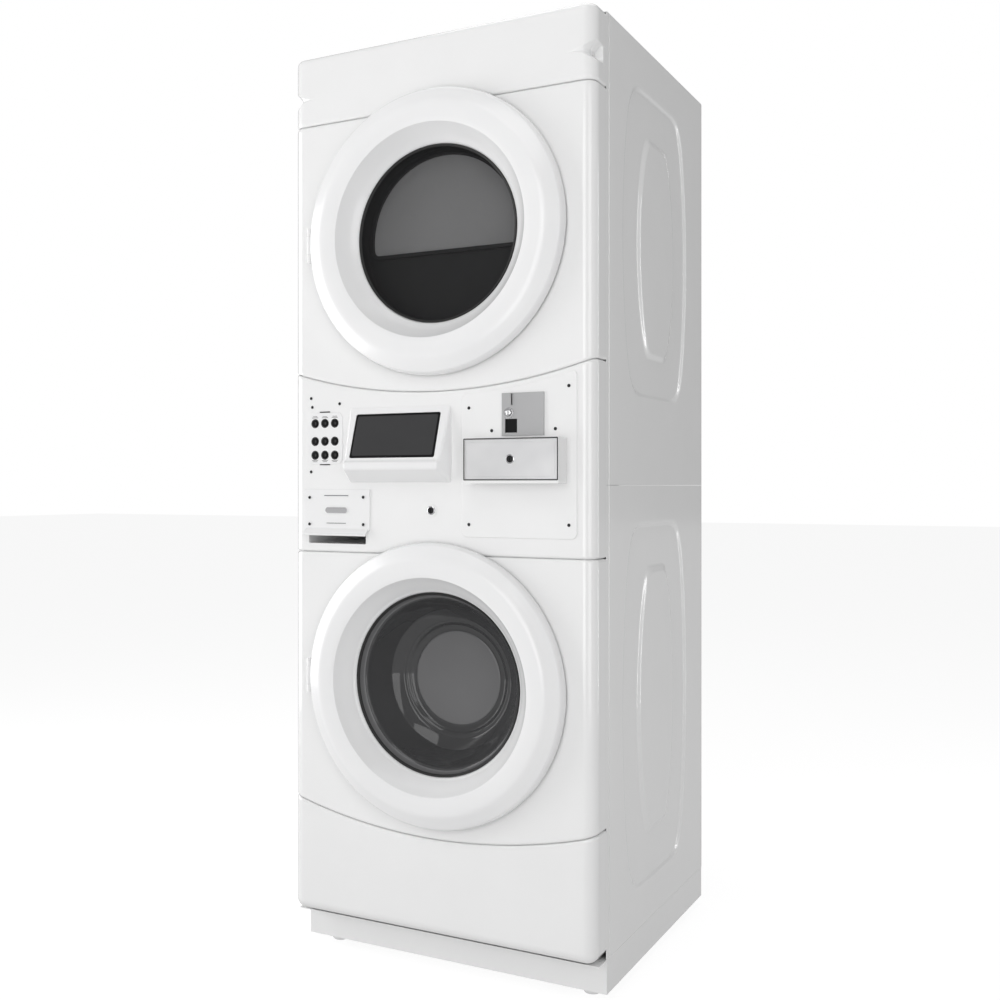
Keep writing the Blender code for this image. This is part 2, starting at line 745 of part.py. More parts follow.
def make_coin_section(console):
    back = TOUCH
    front = back + COIN_PLATE
    door = extruded("coin_door", coin_outline(), back, front, "white_enamel")
    left, right, low, high = ACCEPTOR
    face = front + TOUCH
    acceptor = front_box("coin_acceptor", left, right, low, high, face, face + ACCEPTOR_THICK, "stainless")
    half_slot = SLOT_WIDTH / 2
    cut(acceptor, front_box("coin_slot", SLOT_X - half_slot, SLOT_X + half_slot, *SLOT, -0.02, 0.03))
    cut(acceptor, front_box("coin_cup", *CUP, -0.02, 0.03))
    hole = rod("return_hole", RETURN_RADIUS + RUNNING, -0.02, 0.03, (RETURN_X, RETURN_Z), segments=20)
    cut(acceptor, hole)
    cut(door, hole)
    button = [
        (0.0, face + ACCEPTOR_THICK + 0.005),
        (RETURN_RADIUS * 0.7, face + ACCEPTOR_THICK + 0.005),
        (RETURN_RADIUS, face + ACCEPTOR_THICK + 0.003),
        (RETURN_RADIUS, front + TOUCH),
        (0.0, front + TOUCH),
    ]
    turned("coin_return_button", button, (RETURN_X, RETURN_Z), "stainless", 20, open_ends=True)
    housing = front_box("coin_box_housing", *VAULT, face, VAULT_PROUD, "white_enamel")
    inside = vault_inside()
    cut(housing, front_box("coin_box_way", *inside, -0.02, VAULT_PROUD + 0.02))
    in_left, in_right, in_low, in_high = inside
    gap = TOUCH
    face_back = VAULT_PROUD - 0.001 - VAULT_FACE
    drawer = front_box("coin_box_drawer", in_left + gap, in_right - gap, in_low + gap, in_high - gap,
                       face_back, face_back + VAULT_FACE, "stainless")
    inset = VAULT_BOX_INSET
    tray = (in_left + inset, in_right - inset, in_low + inset, in_high - inset)
    join(drawer, front_box("coin_tray", *tray, VAULT_BACK, face_back + VAULT_FACE / 2))
    wall = SHEET
    hollow = (tray[0] + wall, tray[1] - wall, tray[2] + wall, in_high)
    cut(drawer, front_box("coin_space", *hollow, VAULT_BACK + wall, face_back - gap))
    way = (tray[0] - gap * 3, tray[1] + gap * 3, tray[2] - gap * 3, tray[3] + gap * 3)
    slot = front_box("coin_box_slot", *way, -0.02, 0.02)
    cut(console, slot)
    cut(door, slot)
    cut(drawer, rod("coin_lock_hole", LOCK_RADIUS + RUNNING, face_back - 0.01, VAULT_PROUD + 0.01,
                    (LOCK_X, LOCK_Z), segments=20))
    make_lock("coin_box_lock", LOCK_RADIUS, face_back - 0.012, VAULT_PROUD + 0.001, (LOCK_X, LOCK_Z))
    hole = rod("service_hole", SERVICE_RADIUS + RUNNING, -0.02, 0.02, (SERVICE_X, SERVICE_Z), segments=20)
    cut(console, hole)
    make_lock("service_lock", SERVICE_RADIUS, -0.018, 0.004, (SERVICE_X, SERVICE_Z))


def make_lock(name, radius, back, front, at):
    """A lock cylinder with its key slot."""
    lock = rod(name, radius, back, front, at, "stainless", 20)
    x, z = at
    cut(lock, front_box(name + "_keyway", x - 0.001, x + 0.001, z - radius * 0.55, z + radius * 0.55,
                        front - 0.004, front + 0.004))
    return lock


def make_detergent_drawer(console):
    left, right, low, high = DRAWER
    face = TOUCH + DRAWER_FACE
    drawer = front_box("detergent_drawer", left, right, low, high, TOUCH, face, "white_plastic")
    lip = [
        (TOUCH, low + 0.004),
        (TOUCH + DRAWER_FACE, low + 0.004),
        (HANDLE_PROUD, low - 0.008),
        (HANDLE_PROUD, HANDLE_BOTTOM),
        (HANDLE_PROUD - DRAWER_FACE, HANDLE_BOTTOM),
        (HANDLE_PROUD - DRAWER_FACE, low - 0.010),
        (TOUCH, low - 0.001),
    ]
    edge = 0.004
    rows = [[(x, FRONT - proud, z) for proud, z in lip] for x in (left + edge, right - edge)]
    shape = bmesh.new()
    ends = [[shape.verts.new(point) for point in row] for row in rows]
    for j in range(len(lip)):
        k = (j + 1) % len(lip)
        shape.faces.new((ends[0][j], ends[0][k], ends[1][k], ends[1][j]))
    shape.faces.new(ends[0])
    shape.faces.new(ends[1])
    join(drawer, from_bmesh("drawer_lip", shape))
    tray = (left + TRAY_INSET, right - TRAY_INSET, low + edge, high - TRAY_INSET)
    join(drawer, front_box("drawer_tray", *tray, TRAY_BACK, TOUCH + DRAWER_FACE / 2))
    wall = TRAY_WALL
    space = (tray[0] + wall, tray[1] - wall, tray[2] + wall, high)
    cut(drawer, front_box("drawer_space", *space, TRAY_BACK + wall, -wall))
    gap = 0.0015
    way = (tray[0] - gap, tray[1] + gap, RECESS_BOTTOM, tray[3] + gap)
    cut(console, front_box("drawer_way", *way, -0.02, 0.02))
    wall = HOUSING_WALL
    around = (way[0] - wall, way[1] + wall, way[2] - wall, way[3] + wall)
    back = TRAY_BACK - 0.010
    housing = front_box("detergent_drawer_housing", *around, back, -SHEET - TOUCH, "grey_plastic")
    cut(housing, front_box("housing_space", *way, back + wall, 0.01))


def make_console():
    console = plain_panel("console_panel", level(CONSOLE_BOTTOM), arch(CONSOLE_ARCH))
    make_keys(console)
    make_display()
    make_coin_section(console)
    make_detergent_drawer(console)


# Doors


def door_face(funnel, window):
    """The front line of a door ring, from the back of its rim over the crown to the window."""
    r = DOOR_RADIUS
    rim = [(r, DOOR_GAP), (r - 0.001, 0.014), (r - 0.007, 0.024), (r - 0.022, 0.0330)]
    crown = [((r + funnel) / 2, CROWN), (funnel, CROWN - 0.003)]
    slope = [(window + 0.004, 0.004), (window, -0.001), (window, -WINDOW_BACK)]
    return rim + crown + slope


def make_hinge(name, axis_z):
    """The fixed half of a door hinge: a leaf on the panel, two knuckles and the pin."""
    x = -DOOR_RADIUS - HINGE_OUT
    y = FRONT - HINGE_PROUD
    pin = upright(name, PIN, axis_z - HINGE_HALF, axis_z + HINGE_HALF, (x, y), "galvanised", 12)
    for side in (-1, 1):
        low, high = sorted((axis_z + side * HINGE_HALF, axis_z + side * (KNUCKLE_HALF + TOUCH)))
        join(pin, upright(name + "_knuckle", KNUCKLE, low, high, (x, y), segments=12))
        join(pin, front_box(name + "_web", x - 0.0025, x + 0.0025, low, high, 2 * TOUCH, HINGE_PROUD))
    join(pin, front_box(name + "_leaf", x - 0.004, x + 0.034, axis_z - HINGE_HALF, axis_z + HINGE_HALF,
                        TOUCH, TOUCH + LEAF))
    return (x, y, axis_z)


def make_door_frame(name, axis_z, funnel, window):
    """The outer door ring with its hinge arm and knuckle."""
    frame = turned(name, thicken(door_face(funnel, window), DOOR_WALL), (0.0, axis_z), "white_plastic", 40)
    x = -DOOR_RADIUS - HINGE_OUT
    y = FRONT - HINGE_PROUD
    low, high = axis_z - KNUCKLE_HALF, axis_z + KNUCKLE_HALF
    join(frame, upright(name + "_knuckle", KNUCKLE, low, high, (x, y), segments=12))
    rim = -DOOR_RADIUS + DOOR_WALL / 2
    join(frame, front_box(name + "_arm", x, rim, low, high, HINGE_PROUD - ARM / 2, HINGE_PROUD + ARM / 2))
    cut(frame, upright(name + "_pin_hole", PIN + TOUCH, low - 0.01, high + 0.01, (x, y), segments=12))
    return frame


def inner_window_cutter():
    """The dryer door's half-moon inner window: an arc over a level sill with rounded corners."""
    r = INNER_WINDOW
    sill = -INNER_WINDOW_SILL
    start = math.asin(sill / r) + 0.10
    steps = 20
    arc = []
    for i in range(steps + 1):
        turn = start + (math.pi - 2 * start) * i / steps
        arc.append((r * math.cos(turn), DRYER_AXIS + r * math.sin(turn)))
    foot = r * math.cos(start) - 0.014
    corner = [(-foot - 0.006, DRYER_AXIS + sill + 0.003), (-foot, DRYER_AXIS + sill)]
    outline = arc + corner + [(-x, z) for x, z in reversed(corner)]
    return extruded("inner_window", outline, -LINER_DEPTH - 0.03, -LINER_DEPTH + 0.03)


def make_dryer_door():
    frame = make_door_frame("dryer_door_frame", DRYER_AXIS, DRYER_FUNNEL, DRYER_WINDOW)
    back = -WINDOW_BACK - TOUCH
    pane = DRYER_WINDOW + GLASS_LAP
    glass = rod("dryer_door_glass", pane, back - GLASS, back, (0.0, DRYER_AXIS), "glass", 40)
    wall = LINER_WALL
    rim = DOOR_RADIUS - DOOR_WALL - LINER_GAP
    neck = DRYER_WINDOW + 0.020
    deep = DRYER_WINDOW + 0.006
    profile = [
        (rim, LINER_PROUD),
        (rim, LINER_PROUD - wall),
        (neck + wall, LINER_PROUD - wall),
        (deep + wall, -LINER_DEPTH),
        (0.0, -LINER_DEPTH),
        (0.0, -LINER_DEPTH + wall),
        (deep, -LINER_DEPTH + wall),
        (neck, LINER_PROUD),
    ]
    liner = turned("dryer_door_liner", profile, (0.0, DRYER_AXIS), "dark_plastic", 36)
    cut(liner, inner_window_cutter())
    hang_on("dryer_door_axis", make_hinge("dryer_hinge", DRYER_AXIS), [frame, glass, liner])


def make_washer_door():
    frame = make_door_frame("washer_door_frame", WASHER_AXIS, WASHER_FUNNEL, WASHER_WINDOW)
    back = -WINDOW_BACK - TOUCH
    lip = WASHER_WINDOW + 0.010
    side = WASHER_WINDOW - 0.002
    outer = [
        (lip, back),
        (side, back),
        (side - 0.014, back - 0.030),
        (side - 0.034, -BOWL_DEPTH + 0.030),
        (BOWL_FLOOR + 0.004, -BOWL_DEPTH + 0.008),
        (BOWL_FLOOR - 0.008, -BOWL_DEPTH + BOWL_WALL),
        (0.0, -BOWL_DEPTH + BOWL_WALL),
    ]
    inner = [
        (0.0, -BOWL_DEPTH),
        (BOWL_FLOOR - 0.006, -BOWL_DEPTH),
        (BOWL_FLOOR + BOWL_WALL + 0.003, -BOWL_DEPTH + 0.007),
        (side - 0.034 + BOWL_WALL, -BOWL_DEPTH + 0.030),
        (side - 0.014 + BOWL_WALL, back - 0.030),
        (side + BOWL_WALL, back - BOWL_WALL),
        (lip, back - BOWL_WALL),
    ]
    bowl = turned("washer_door_bowl", outer + inner, (0.0, WASHER_AXIS), "glass", 32)
    wall = LINER_WALL
    rim = DOOR_RADIUS - DOOR_WALL - LINER_GAP
    neck = WASHER_WINDOW + 0.020
    seat = WASHER_WINDOW + 0.005
    low = back - BOWL_WALL - TOUCH
    profile = [
        (rim, LINER_PROUD),
        (rim, LINER_PROUD - wall),
        (neck + wall, LINER_PROUD - wall),
        (lip + 0.004 + wall, low - wall),
        (seat, low - wall),
        (seat, low),
        (lip + 0.004, low),
        (neck, LINER_PROUD),
    ]
    liner = turned("washer_door_liner", profile, (0.0, WASHER_AXIS), "grey_plastic", 36)
    hang_on("washer_door_axis", make_hinge("washer_hinge", WASHER_AXIS), [frame, bowl, liner])


# Insides


def drum_profile(radius, mouth, wall, front, rear, shaft, shaft_end):
    """A drum open at the front, with its shaft out of the rear wall."""
    return [
        (mouth, front),
        (radius, front),
        (radius, rear),
        (shaft, rear),
        (shaft, shaft_end),
        (0.0, shaft_end),
        (0.0, rear + wall),
        (radius - wall, rear + wall),
        (radius - wall, front - wall),
        (mouth, front - wall),
    ]


def add_lifters(drum, radius, wall, front, rear, axis_z):
    """Three ribs inside a drum, which carry the load up as it turns."""
    for i in range(3):
        turn = math.pi / 2 + 2 * math.pi * i / 3
        half = 0.018
        reach = radius - wall / 2
        low = front_box(f"{drum.name}_lifter", -half, half, reach - LIFTER_HEIGHT, reach,
                        rear + wall / 2, front - LIFTER_GAP)
        middle = reach - LIFTER_HEIGHT / 2
        low.location = (middle * math.cos(turn), low.location.y, axis_z + middle * math.sin(turn))
        low.rotation_euler = (0.0, math.pi / 2 - turn, 0.0)
        trim = rod(f"{drum.name}_bore", radius - wall / 2, rear, front, (0.0, axis_z), segments=36)
        combine(low, trim, "INTERSECT")
        join(drum, low)


def belt_line(centres, radii, steps=14):
    """The closed line of an open belt round two pulleys, in x and z."""
    (x0, z0), (x1, z1) = centres
    r0, r1 = radii
    gap = math.hypot(x1 - x0, z1 - z0)
    heading = math.atan2(z1 - z0, x1 - x0)
    spread = math.acos((r0 - r1) / gap)
    line = []
    for i in range(2 * steps + 1):
        turn = heading + spread + (2 * math.pi - 2 * spread) * i / (2 * steps)
        line.append((x0 + r0 * math.cos(turn), z0 + r0 * math.sin(turn)))
    for i in range(steps // 2 + 1):
        turn = heading - spread + 2 * spread * i / (steps // 2)
        line.append((x1 + r1 * math.cos(turn), z1 + r1 * math.sin(turn)))
    return line


def make_belt(name, centres, radii, back, front):
    slack = 2 * TOUCH + BELT_THICK
    sizes = [radius + slack for radius in radii]
    line = belt_line(centres, sizes)
    rows = [[(x, FRONT - proud, z) for x, z in line] for proud in (back, front)]
    return sheet_of(name, rows, "rubber", BELT_THICK, closed=True)


def face_outwards(part):
    """Turn a belt's faces round, since its line runs so that they start out facing inwards."""
    shape = bmesh.new()
    shape.from_mesh(part.data)
    bmesh.ops.reverse_faces(shape, faces=shape.faces)
    shape.to_mesh(part.data)
    shape.free()
    return part


def spring(name, x):
    """A suspension spring as a wire wound round an upright line."""
    curve = bpy.data.curves.new(name, "CURVE")
    curve.dimensions = "3D"
    curve.bevel_depth = SPRING_WIRE
    curve.bevel_resolution = 1
    curve.use_fill_caps = True
    line = curve.splines.new("POLY")
    steps = 7
    count = SPRING_TURNS * steps
    low, high = SPRING_BOTTOM + SPRING_WIRE * 1.6, SPRING_TOP - SPRING_WIRE * 1.6
    line.points.add(count)
    for i, point in enumerate(line.points):
        turn = 2 * math.pi * i / steps
        z = low + (high - low) * i / count
        point.co = (SPRING_COIL * math.cos(turn), SPRING_COIL * math.sin(turn), z, 1.0)
    made = bpy.data.objects.new(name, curve)
    made.location = (x, FRONT - SPRING_DEPTH, 0.0)
    curve.materials.append(finish("galvanised"))
    parts.objects.link(made)


def make_washer_insides():
    centre = (0.0, WASHER_AXIS)
    r, wall = TUB_RADIUS, TUB_WALL
    bearing = SHAFT + RUNNING
    profile = [
        (TUB_MOUTH, TUB_FRONT),
        (r, TUB_FRONT),
        (r, TUB_REAR),
        (bearing, TUB_REAR),
        (bearing, TUB_REAR + wall),
        (r - wall, TUB_REAR + wall),
        (r - wall, TUB_FRONT - wall),
        (TUB_MOUTH, TUB_FRONT - wall),
    ]
    tub = turned("outer_tub", profile, centre, "grey_plastic", 36)
    for side in (-1, 1):
        x = side * SPRING_X
        join(tub, front_box("spring_lug", x - 0.015, x + 0.015, SPRING_BOTTOM - 0.055, SPRING_BOTTOM - TOUCH,
                            SPRING_DEPTH - 0.008, SPRING_DEPTH + 0.008))
    cut(tub, rod("tub_bore", r - wall * 0.7, TUB_REAR + wall, TUB_FRONT - wall, centre, segments=36))
    drum = turned("washer_drum", drum_profile(DRUM_RADIUS, DRUM_MOUTH, DRUM_WALL, DRUM_FRONT, DRUM_REAR,
                                              SHAFT, SHAFT_END), centre, "stainless", 36)
    add_lifters(drum, DRUM_RADIUS, DRUM_WALL, DRUM_FRONT, DRUM_REAR, WASHER_AXIS)
    hub = SHAFT + TOUCH
    web = (PULLEY_FRONT + PULLEY_REAR) / 2
    rim = PULLEY - 0.012
    pulley = [
        (hub, PULLEY_FRONT),
        (PULLEY, PULLEY_FRONT),
        (PULLEY, PULLEY_REAR),
        (rim, PULLEY_REAR),
        (rim, web),
        (0.030, web),
        (0.030, PULLEY_REAR),
        (hub, PULLEY_REAR),
    ]
    turned("drum_pulley", pulley, centre, "grey_plastic", 28)
    motor_at = (0.0, MOTOR_Z)
    bore = MOTOR_SHAFT + RUNNING
    shell = [
        (bore, MOTOR_REAR),
        (MOTOR_RADIUS * 0.7, MOTOR_REAR),
        (MOTOR_RADIUS, MOTOR_REAR + 0.02),
        (MOTOR_RADIUS, MOTOR_FRONT - 0.02),
        (MOTOR_RADIUS * 0.7, MOTOR_FRONT),
        (bore, MOTOR_FRONT),
    ]
    motor = turned("washer_motor", shell, motor_at, "iron", 24)
    edge = 0.030
    tub_low = WASHER_AXIS - r
    join(motor, front_box("motor_mount", -edge, edge, MOTOR_Z + MOTOR_RADIUS * 0.9, tub_low - TOUCH,
                          MOTOR_REAR + 0.05, MOTOR_FRONT - 0.05))
    shaft = MOTOR_SHAFT
    pulley = [
        (0.0, MOTOR_REAR + 0.05),
        (shaft, MOTOR_REAR + 0.05),
        (shaft, PULLEY_FRONT),
        (MOTOR_PULLEY, PULLEY_FRONT),
        (MOTOR_PULLEY, PULLEY_REAR),
        (0.0, PULLEY_REAR),
    ]
    turned("washer_motor_pulley", pulley, motor_at, "stainless", 20, open_ends=True)
    middle = (PULLEY_FRONT + PULLEY_REAR) / 2
    belt = make_belt("washer_belt", (centre, motor_at), (PULLEY, MOTOR_PULLEY),
                     middle - BELT_WIDTH / 2, middle + BELT_WIDTH / 2)
    face_outwards(belt)
    weight = front_box("counterweight", -WEIGHT_HALF, WEIGHT_HALF, WASHER_AXIS + 0.245, WEIGHT_TOP,
                       WEIGHT_REAR, WEIGHT_FRONT, "iron")
    around_tub = r + 2 * TOUCH
    cut(weight, rod("tub_clearance", around_tub, WEIGHT_REAR - 0.05, WEIGHT_FRONT + 0.05, centre,
                    segments=36))
    spring("suspension_spring_left", -SPRING_X)
    spring("suspension_spring_right", SPRING_X)
    make_boot(centre)


def make_boot(centre):
    """The bellows gasket from the front panel to the mouth of the tub."""
    lip = WASHER_OPENING - 0.002
    folds = [
        (lip, -0.004),
        (lip, -0.022),
        (lip - 0.016, -0.030),
        (lip - 0.018, -0.052),
        (lip - 0.004, -0.060),
        (lip - 0.004, -0.076),
        (lip - 0.018, -0.084),
        (lip - 0.018, -0.104),
        (TUB_MOUTH + 0.012, TUB_FRONT + 4 * TOUCH),
    ]
    turned("door_boot", thicken(folds, 0.003), centre, "grey_rubber", 28)


def make_dryer_insides():
    centre = (0.0, DRYER_AXIS)
    shaft_end = -CABINET_DEPTH + HEATER_DEPTH - 0.020
    profile = drum_profile(DRYER_DRUM, DRYER_MOUTH, SHEET, DRYER_DRUM_FRONT, DRYER_DRUM_REAR, SHAFT,
                           shaft_end)
    drum = turned("dryer_drum", profile, centre, "stainless", 36)
    add_lifters(drum, DRYER_DRUM, SHEET, DRYER_DRUM_FRONT, DRYER_DRUM_REAR, DRYER_AXIS)
    heater_front = -CABINET_DEPTH + HEATER_DEPTH
    low, high = DRYER_AXIS - HEATER_HALF, DRYER_AXIS + HEATER_HALF
    heater = front_box("heater_box", -HEATER_HALF, HEATER_HALF, low, high,
                       -CABINET_DEPTH + SHEET + TOUCH, heater_front, "galvanised")
    bore = SHAFT + RUNNING
    cut(heater, rod("drum_bearing", bore, shaft_end - 0.002, heater_front + 0.02, centre, segments=40))
    motor_at = (0.0, FAN_Z)
    bore = FAN_SHAFT + RUNNING
    shell = [
        (bore, DRYER_MOTOR_FRONT),
        (DRYER_MOTOR_RADIUS * 0.75, DRYER_MOTOR_FRONT),
        (DRYER_MOTOR_RADIUS, DRYER_MOTOR_FRONT - 0.015),
        (DRYER_MOTOR_RADIUS, DRYER_MOTOR_REAR + 0.015),
        (DRYER_MOTOR_RADIUS * 0.75, DRYER_MOTOR_REAR),
        (bore, DRYER_MOTOR_REAR),
    ]
    motor = turned("dryer_motor", shell, motor_at, "iron", 24)
    floor = FLOOR_Z + SHEET + TOUCH
    join(motor, front_box("dryer_motor_foot", -0.045, 0.045, floor, FAN_Z - DRYER_MOTOR_RADIUS * 0.8,
                          DRYER_MOTOR_REAR + 0.03, DRYER_MOTOR_FRONT - 0.03))
    pulley_back = FAN_PULLEY_FRONT - DRYER_BELT_WIDTH - 0.004
    wheel_front = BLOWER_FRONT - 0.012
    wheel_back = BLOWER_REAR + 0.012
    fan = [
        (0.0, FAN_PULLEY_FRONT),
        (FAN_PULLEY, FAN_PULLEY_FRONT),
        (FAN_PULLEY, pulley_back),
        (FAN_SHAFT, pulley_back),
        (FAN_SHAFT, wheel_back + 0.004),
        (WHEEL_RADIUS - 0.004, wheel_back + 0.004),
        (WHEEL_RADIUS - 0.004, wheel_front),
        (WHEEL_RADIUS, wheel_front),
        (WHEEL_RADIUS, wheel_back),
        (0.0, wheel_back),
    ]
    turned("dryer_fan_shaft", fan, motor_at, "grey_plastic", 28, open_ends=True)
    outer = [
        (BLOWER_INLET, BLOWER_FRONT),
        (BLOWER_RADIUS, BLOWER_FRONT),
        (BLOWER_RADIUS, BLOWER_REAR),
        (COLLAR_RADIUS, BLOWER_REAR),
        (COLLAR_RADIUS, -CABINET_DEPTH - COLLAR_PROUD),
    ]
    wall = BLOWER_WALL
    inner = [
        (COLLAR_RADIUS - wall, -CABINET_DEPTH - COLLAR_PROUD),
        (COLLAR_RADIUS - wall, BLOWER_REAR + wall),
        (BLOWER_RADIUS - wall, BLOWER_REAR + wall),
        (BLOWER_RADIUS - wall, BLOWER_FRONT - wall),
        (BLOWER_INLET, BLOWER_FRONT - wall),
    ]
    blower = turned("blower_housing", outer + inner, motor_at, "galvanised", 24)
    foot = front_box("blower_foot", -0.030, 0.030, floor, FAN_Z - BLOWER_RADIUS + wall / 2,
                     BLOWER_REAR + 0.02, BLOWER_FRONT - 0.02)
    join(blower, foot)
    back = FAN_PULLEY_FRONT - 0.002 - DRYER_BELT_WIDTH
    front = back + DRYER_BELT_WIDTH
    belt = make_belt("dryer_belt", (centre, motor_at), (DRYER_DRUM, FAN_PULLEY), back, front)
    face_outwards(belt)
    half = CHUTE_HALF - 3 * SHEET
    screen = front_box("lint_screen", -half, half, CHUTE_FLOOR + TOUCH, SCREEN_TOP - 0.010,
                       CHUTE_REAR + SHEET + 0.001, CHUTE_FRONT - SHEET - 0.001, "grey_plastic")
    join(screen, front_box("screen_grip", -0.040, 0.040, SCREEN_TOP - 0.015, SCREEN_TOP,
                           CHUTE_REAR + SHEET + 0.002, CHUTE_FRONT - SHEET - 0.002))


def main():
    start_scene()
    make_cabinet()
    make_console()
    make_dryer_door()
    make_washer_door()
    make_washer_insides()
    make_dryer_insides()


main()
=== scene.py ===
"""The looks of a coin-operated laundry tower, a tumble dryer stacked on a front-loading washer.

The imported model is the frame: every piece here takes its place from it and rides on one of its
bodies. Lengths are metres. "Proud" is a distance in front of the cabinet's front plane, so a
negative value lies inside the cabinet. +X is right, +Y is the rear and +Z is up.
"""

import logging
import math
from dataclasses import dataclass
from enum import Enum
from typing import Callable, Sequence

import bmesh
import bpy
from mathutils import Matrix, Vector


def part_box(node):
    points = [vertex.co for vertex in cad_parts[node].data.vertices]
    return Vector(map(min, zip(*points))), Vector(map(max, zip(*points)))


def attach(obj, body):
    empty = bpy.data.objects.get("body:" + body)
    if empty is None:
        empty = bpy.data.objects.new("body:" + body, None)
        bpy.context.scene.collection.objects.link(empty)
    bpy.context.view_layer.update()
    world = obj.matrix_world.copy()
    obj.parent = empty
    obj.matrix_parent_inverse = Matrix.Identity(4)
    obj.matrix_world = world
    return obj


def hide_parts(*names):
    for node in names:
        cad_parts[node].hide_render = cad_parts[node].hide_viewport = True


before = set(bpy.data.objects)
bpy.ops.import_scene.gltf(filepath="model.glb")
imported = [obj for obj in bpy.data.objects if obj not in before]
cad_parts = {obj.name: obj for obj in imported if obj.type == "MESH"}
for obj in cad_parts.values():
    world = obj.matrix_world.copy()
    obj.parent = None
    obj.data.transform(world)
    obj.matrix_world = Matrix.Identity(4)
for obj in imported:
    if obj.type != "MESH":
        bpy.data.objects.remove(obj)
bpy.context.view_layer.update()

logging.basicConfig(level=logging.INFO, format="%(name)s: %(message)s")
LOG = logging.getLogger("laundry_tower")

Point = tuple[float, float]
Fields = tuple[float, float, float, float]
Height = Callable[[float], float]

ROOT = "cabinet"
FRONT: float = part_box("washer_front_panel")[0].y
REAR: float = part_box("dryer_cabinet")[1].y
SIDE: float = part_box("dryer_cabinet")[1].x
TOP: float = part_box("top_panel")[1].z
SHEET = 0.0015
HAIR = 0.0003
ON_AXIS = 1e-7
CUT_REACH = 0.05


# Materials


class Pattern(Enum):
    """What the surface of a finish does, close up."""

    ORANGE_PEEL = "orange peel"
    BRUSHED = "brushed"
    MOULDED = "moulded"
    SPANGLE = "spangle"
    PERFORATED = "perforated"
    GAUZE = "gauze"
    CAST = "cast"
    POLISHED = "polished"


def linear(colour: str) -> tuple[float, float, float, float]:
    """Turn an sRGB hex colour to linear light.

    Args:
        colour: six hex digits, with or without a leading #.

    Returns:
        Red, green, blue and an alpha of 1.
    """
    digits = colour.lstrip("#")
    parts = [int(digits[i:i + 2], 16) / 255 for i in (0, 2, 4)]
    bent = [c / 12.92 if c <= 0.04045 else ((c + 0.055) / 1.055) ** 2.4 for c in parts]
    return (bent[0], bent[1], bent[2], 1.0)


def add_node(tree: bpy.types.NodeTree, kind: str, settings: dict = {}, links: dict = {}) -> bpy.types.Node:
    """Add one shader node.

    Args:
        tree: the node tree that it joins.
        kind: Blender's name for the node type.
        settings: values by socket name or number, or by attribute name.
        links: input sockets by name or number, each to (node, output).

    Returns:
        The new node.
    """
    made = tree.nodes.new(kind)
    for name, value in settings.items():
        if isinstance(name, int) or name in made.inputs:
            made.inputs[name].default_value = value
        else:
            setattr(made, name, value)
    for name, (source, output) in links.items():
        tree.links.new(source.outputs[output], made.inputs[name])
    return made


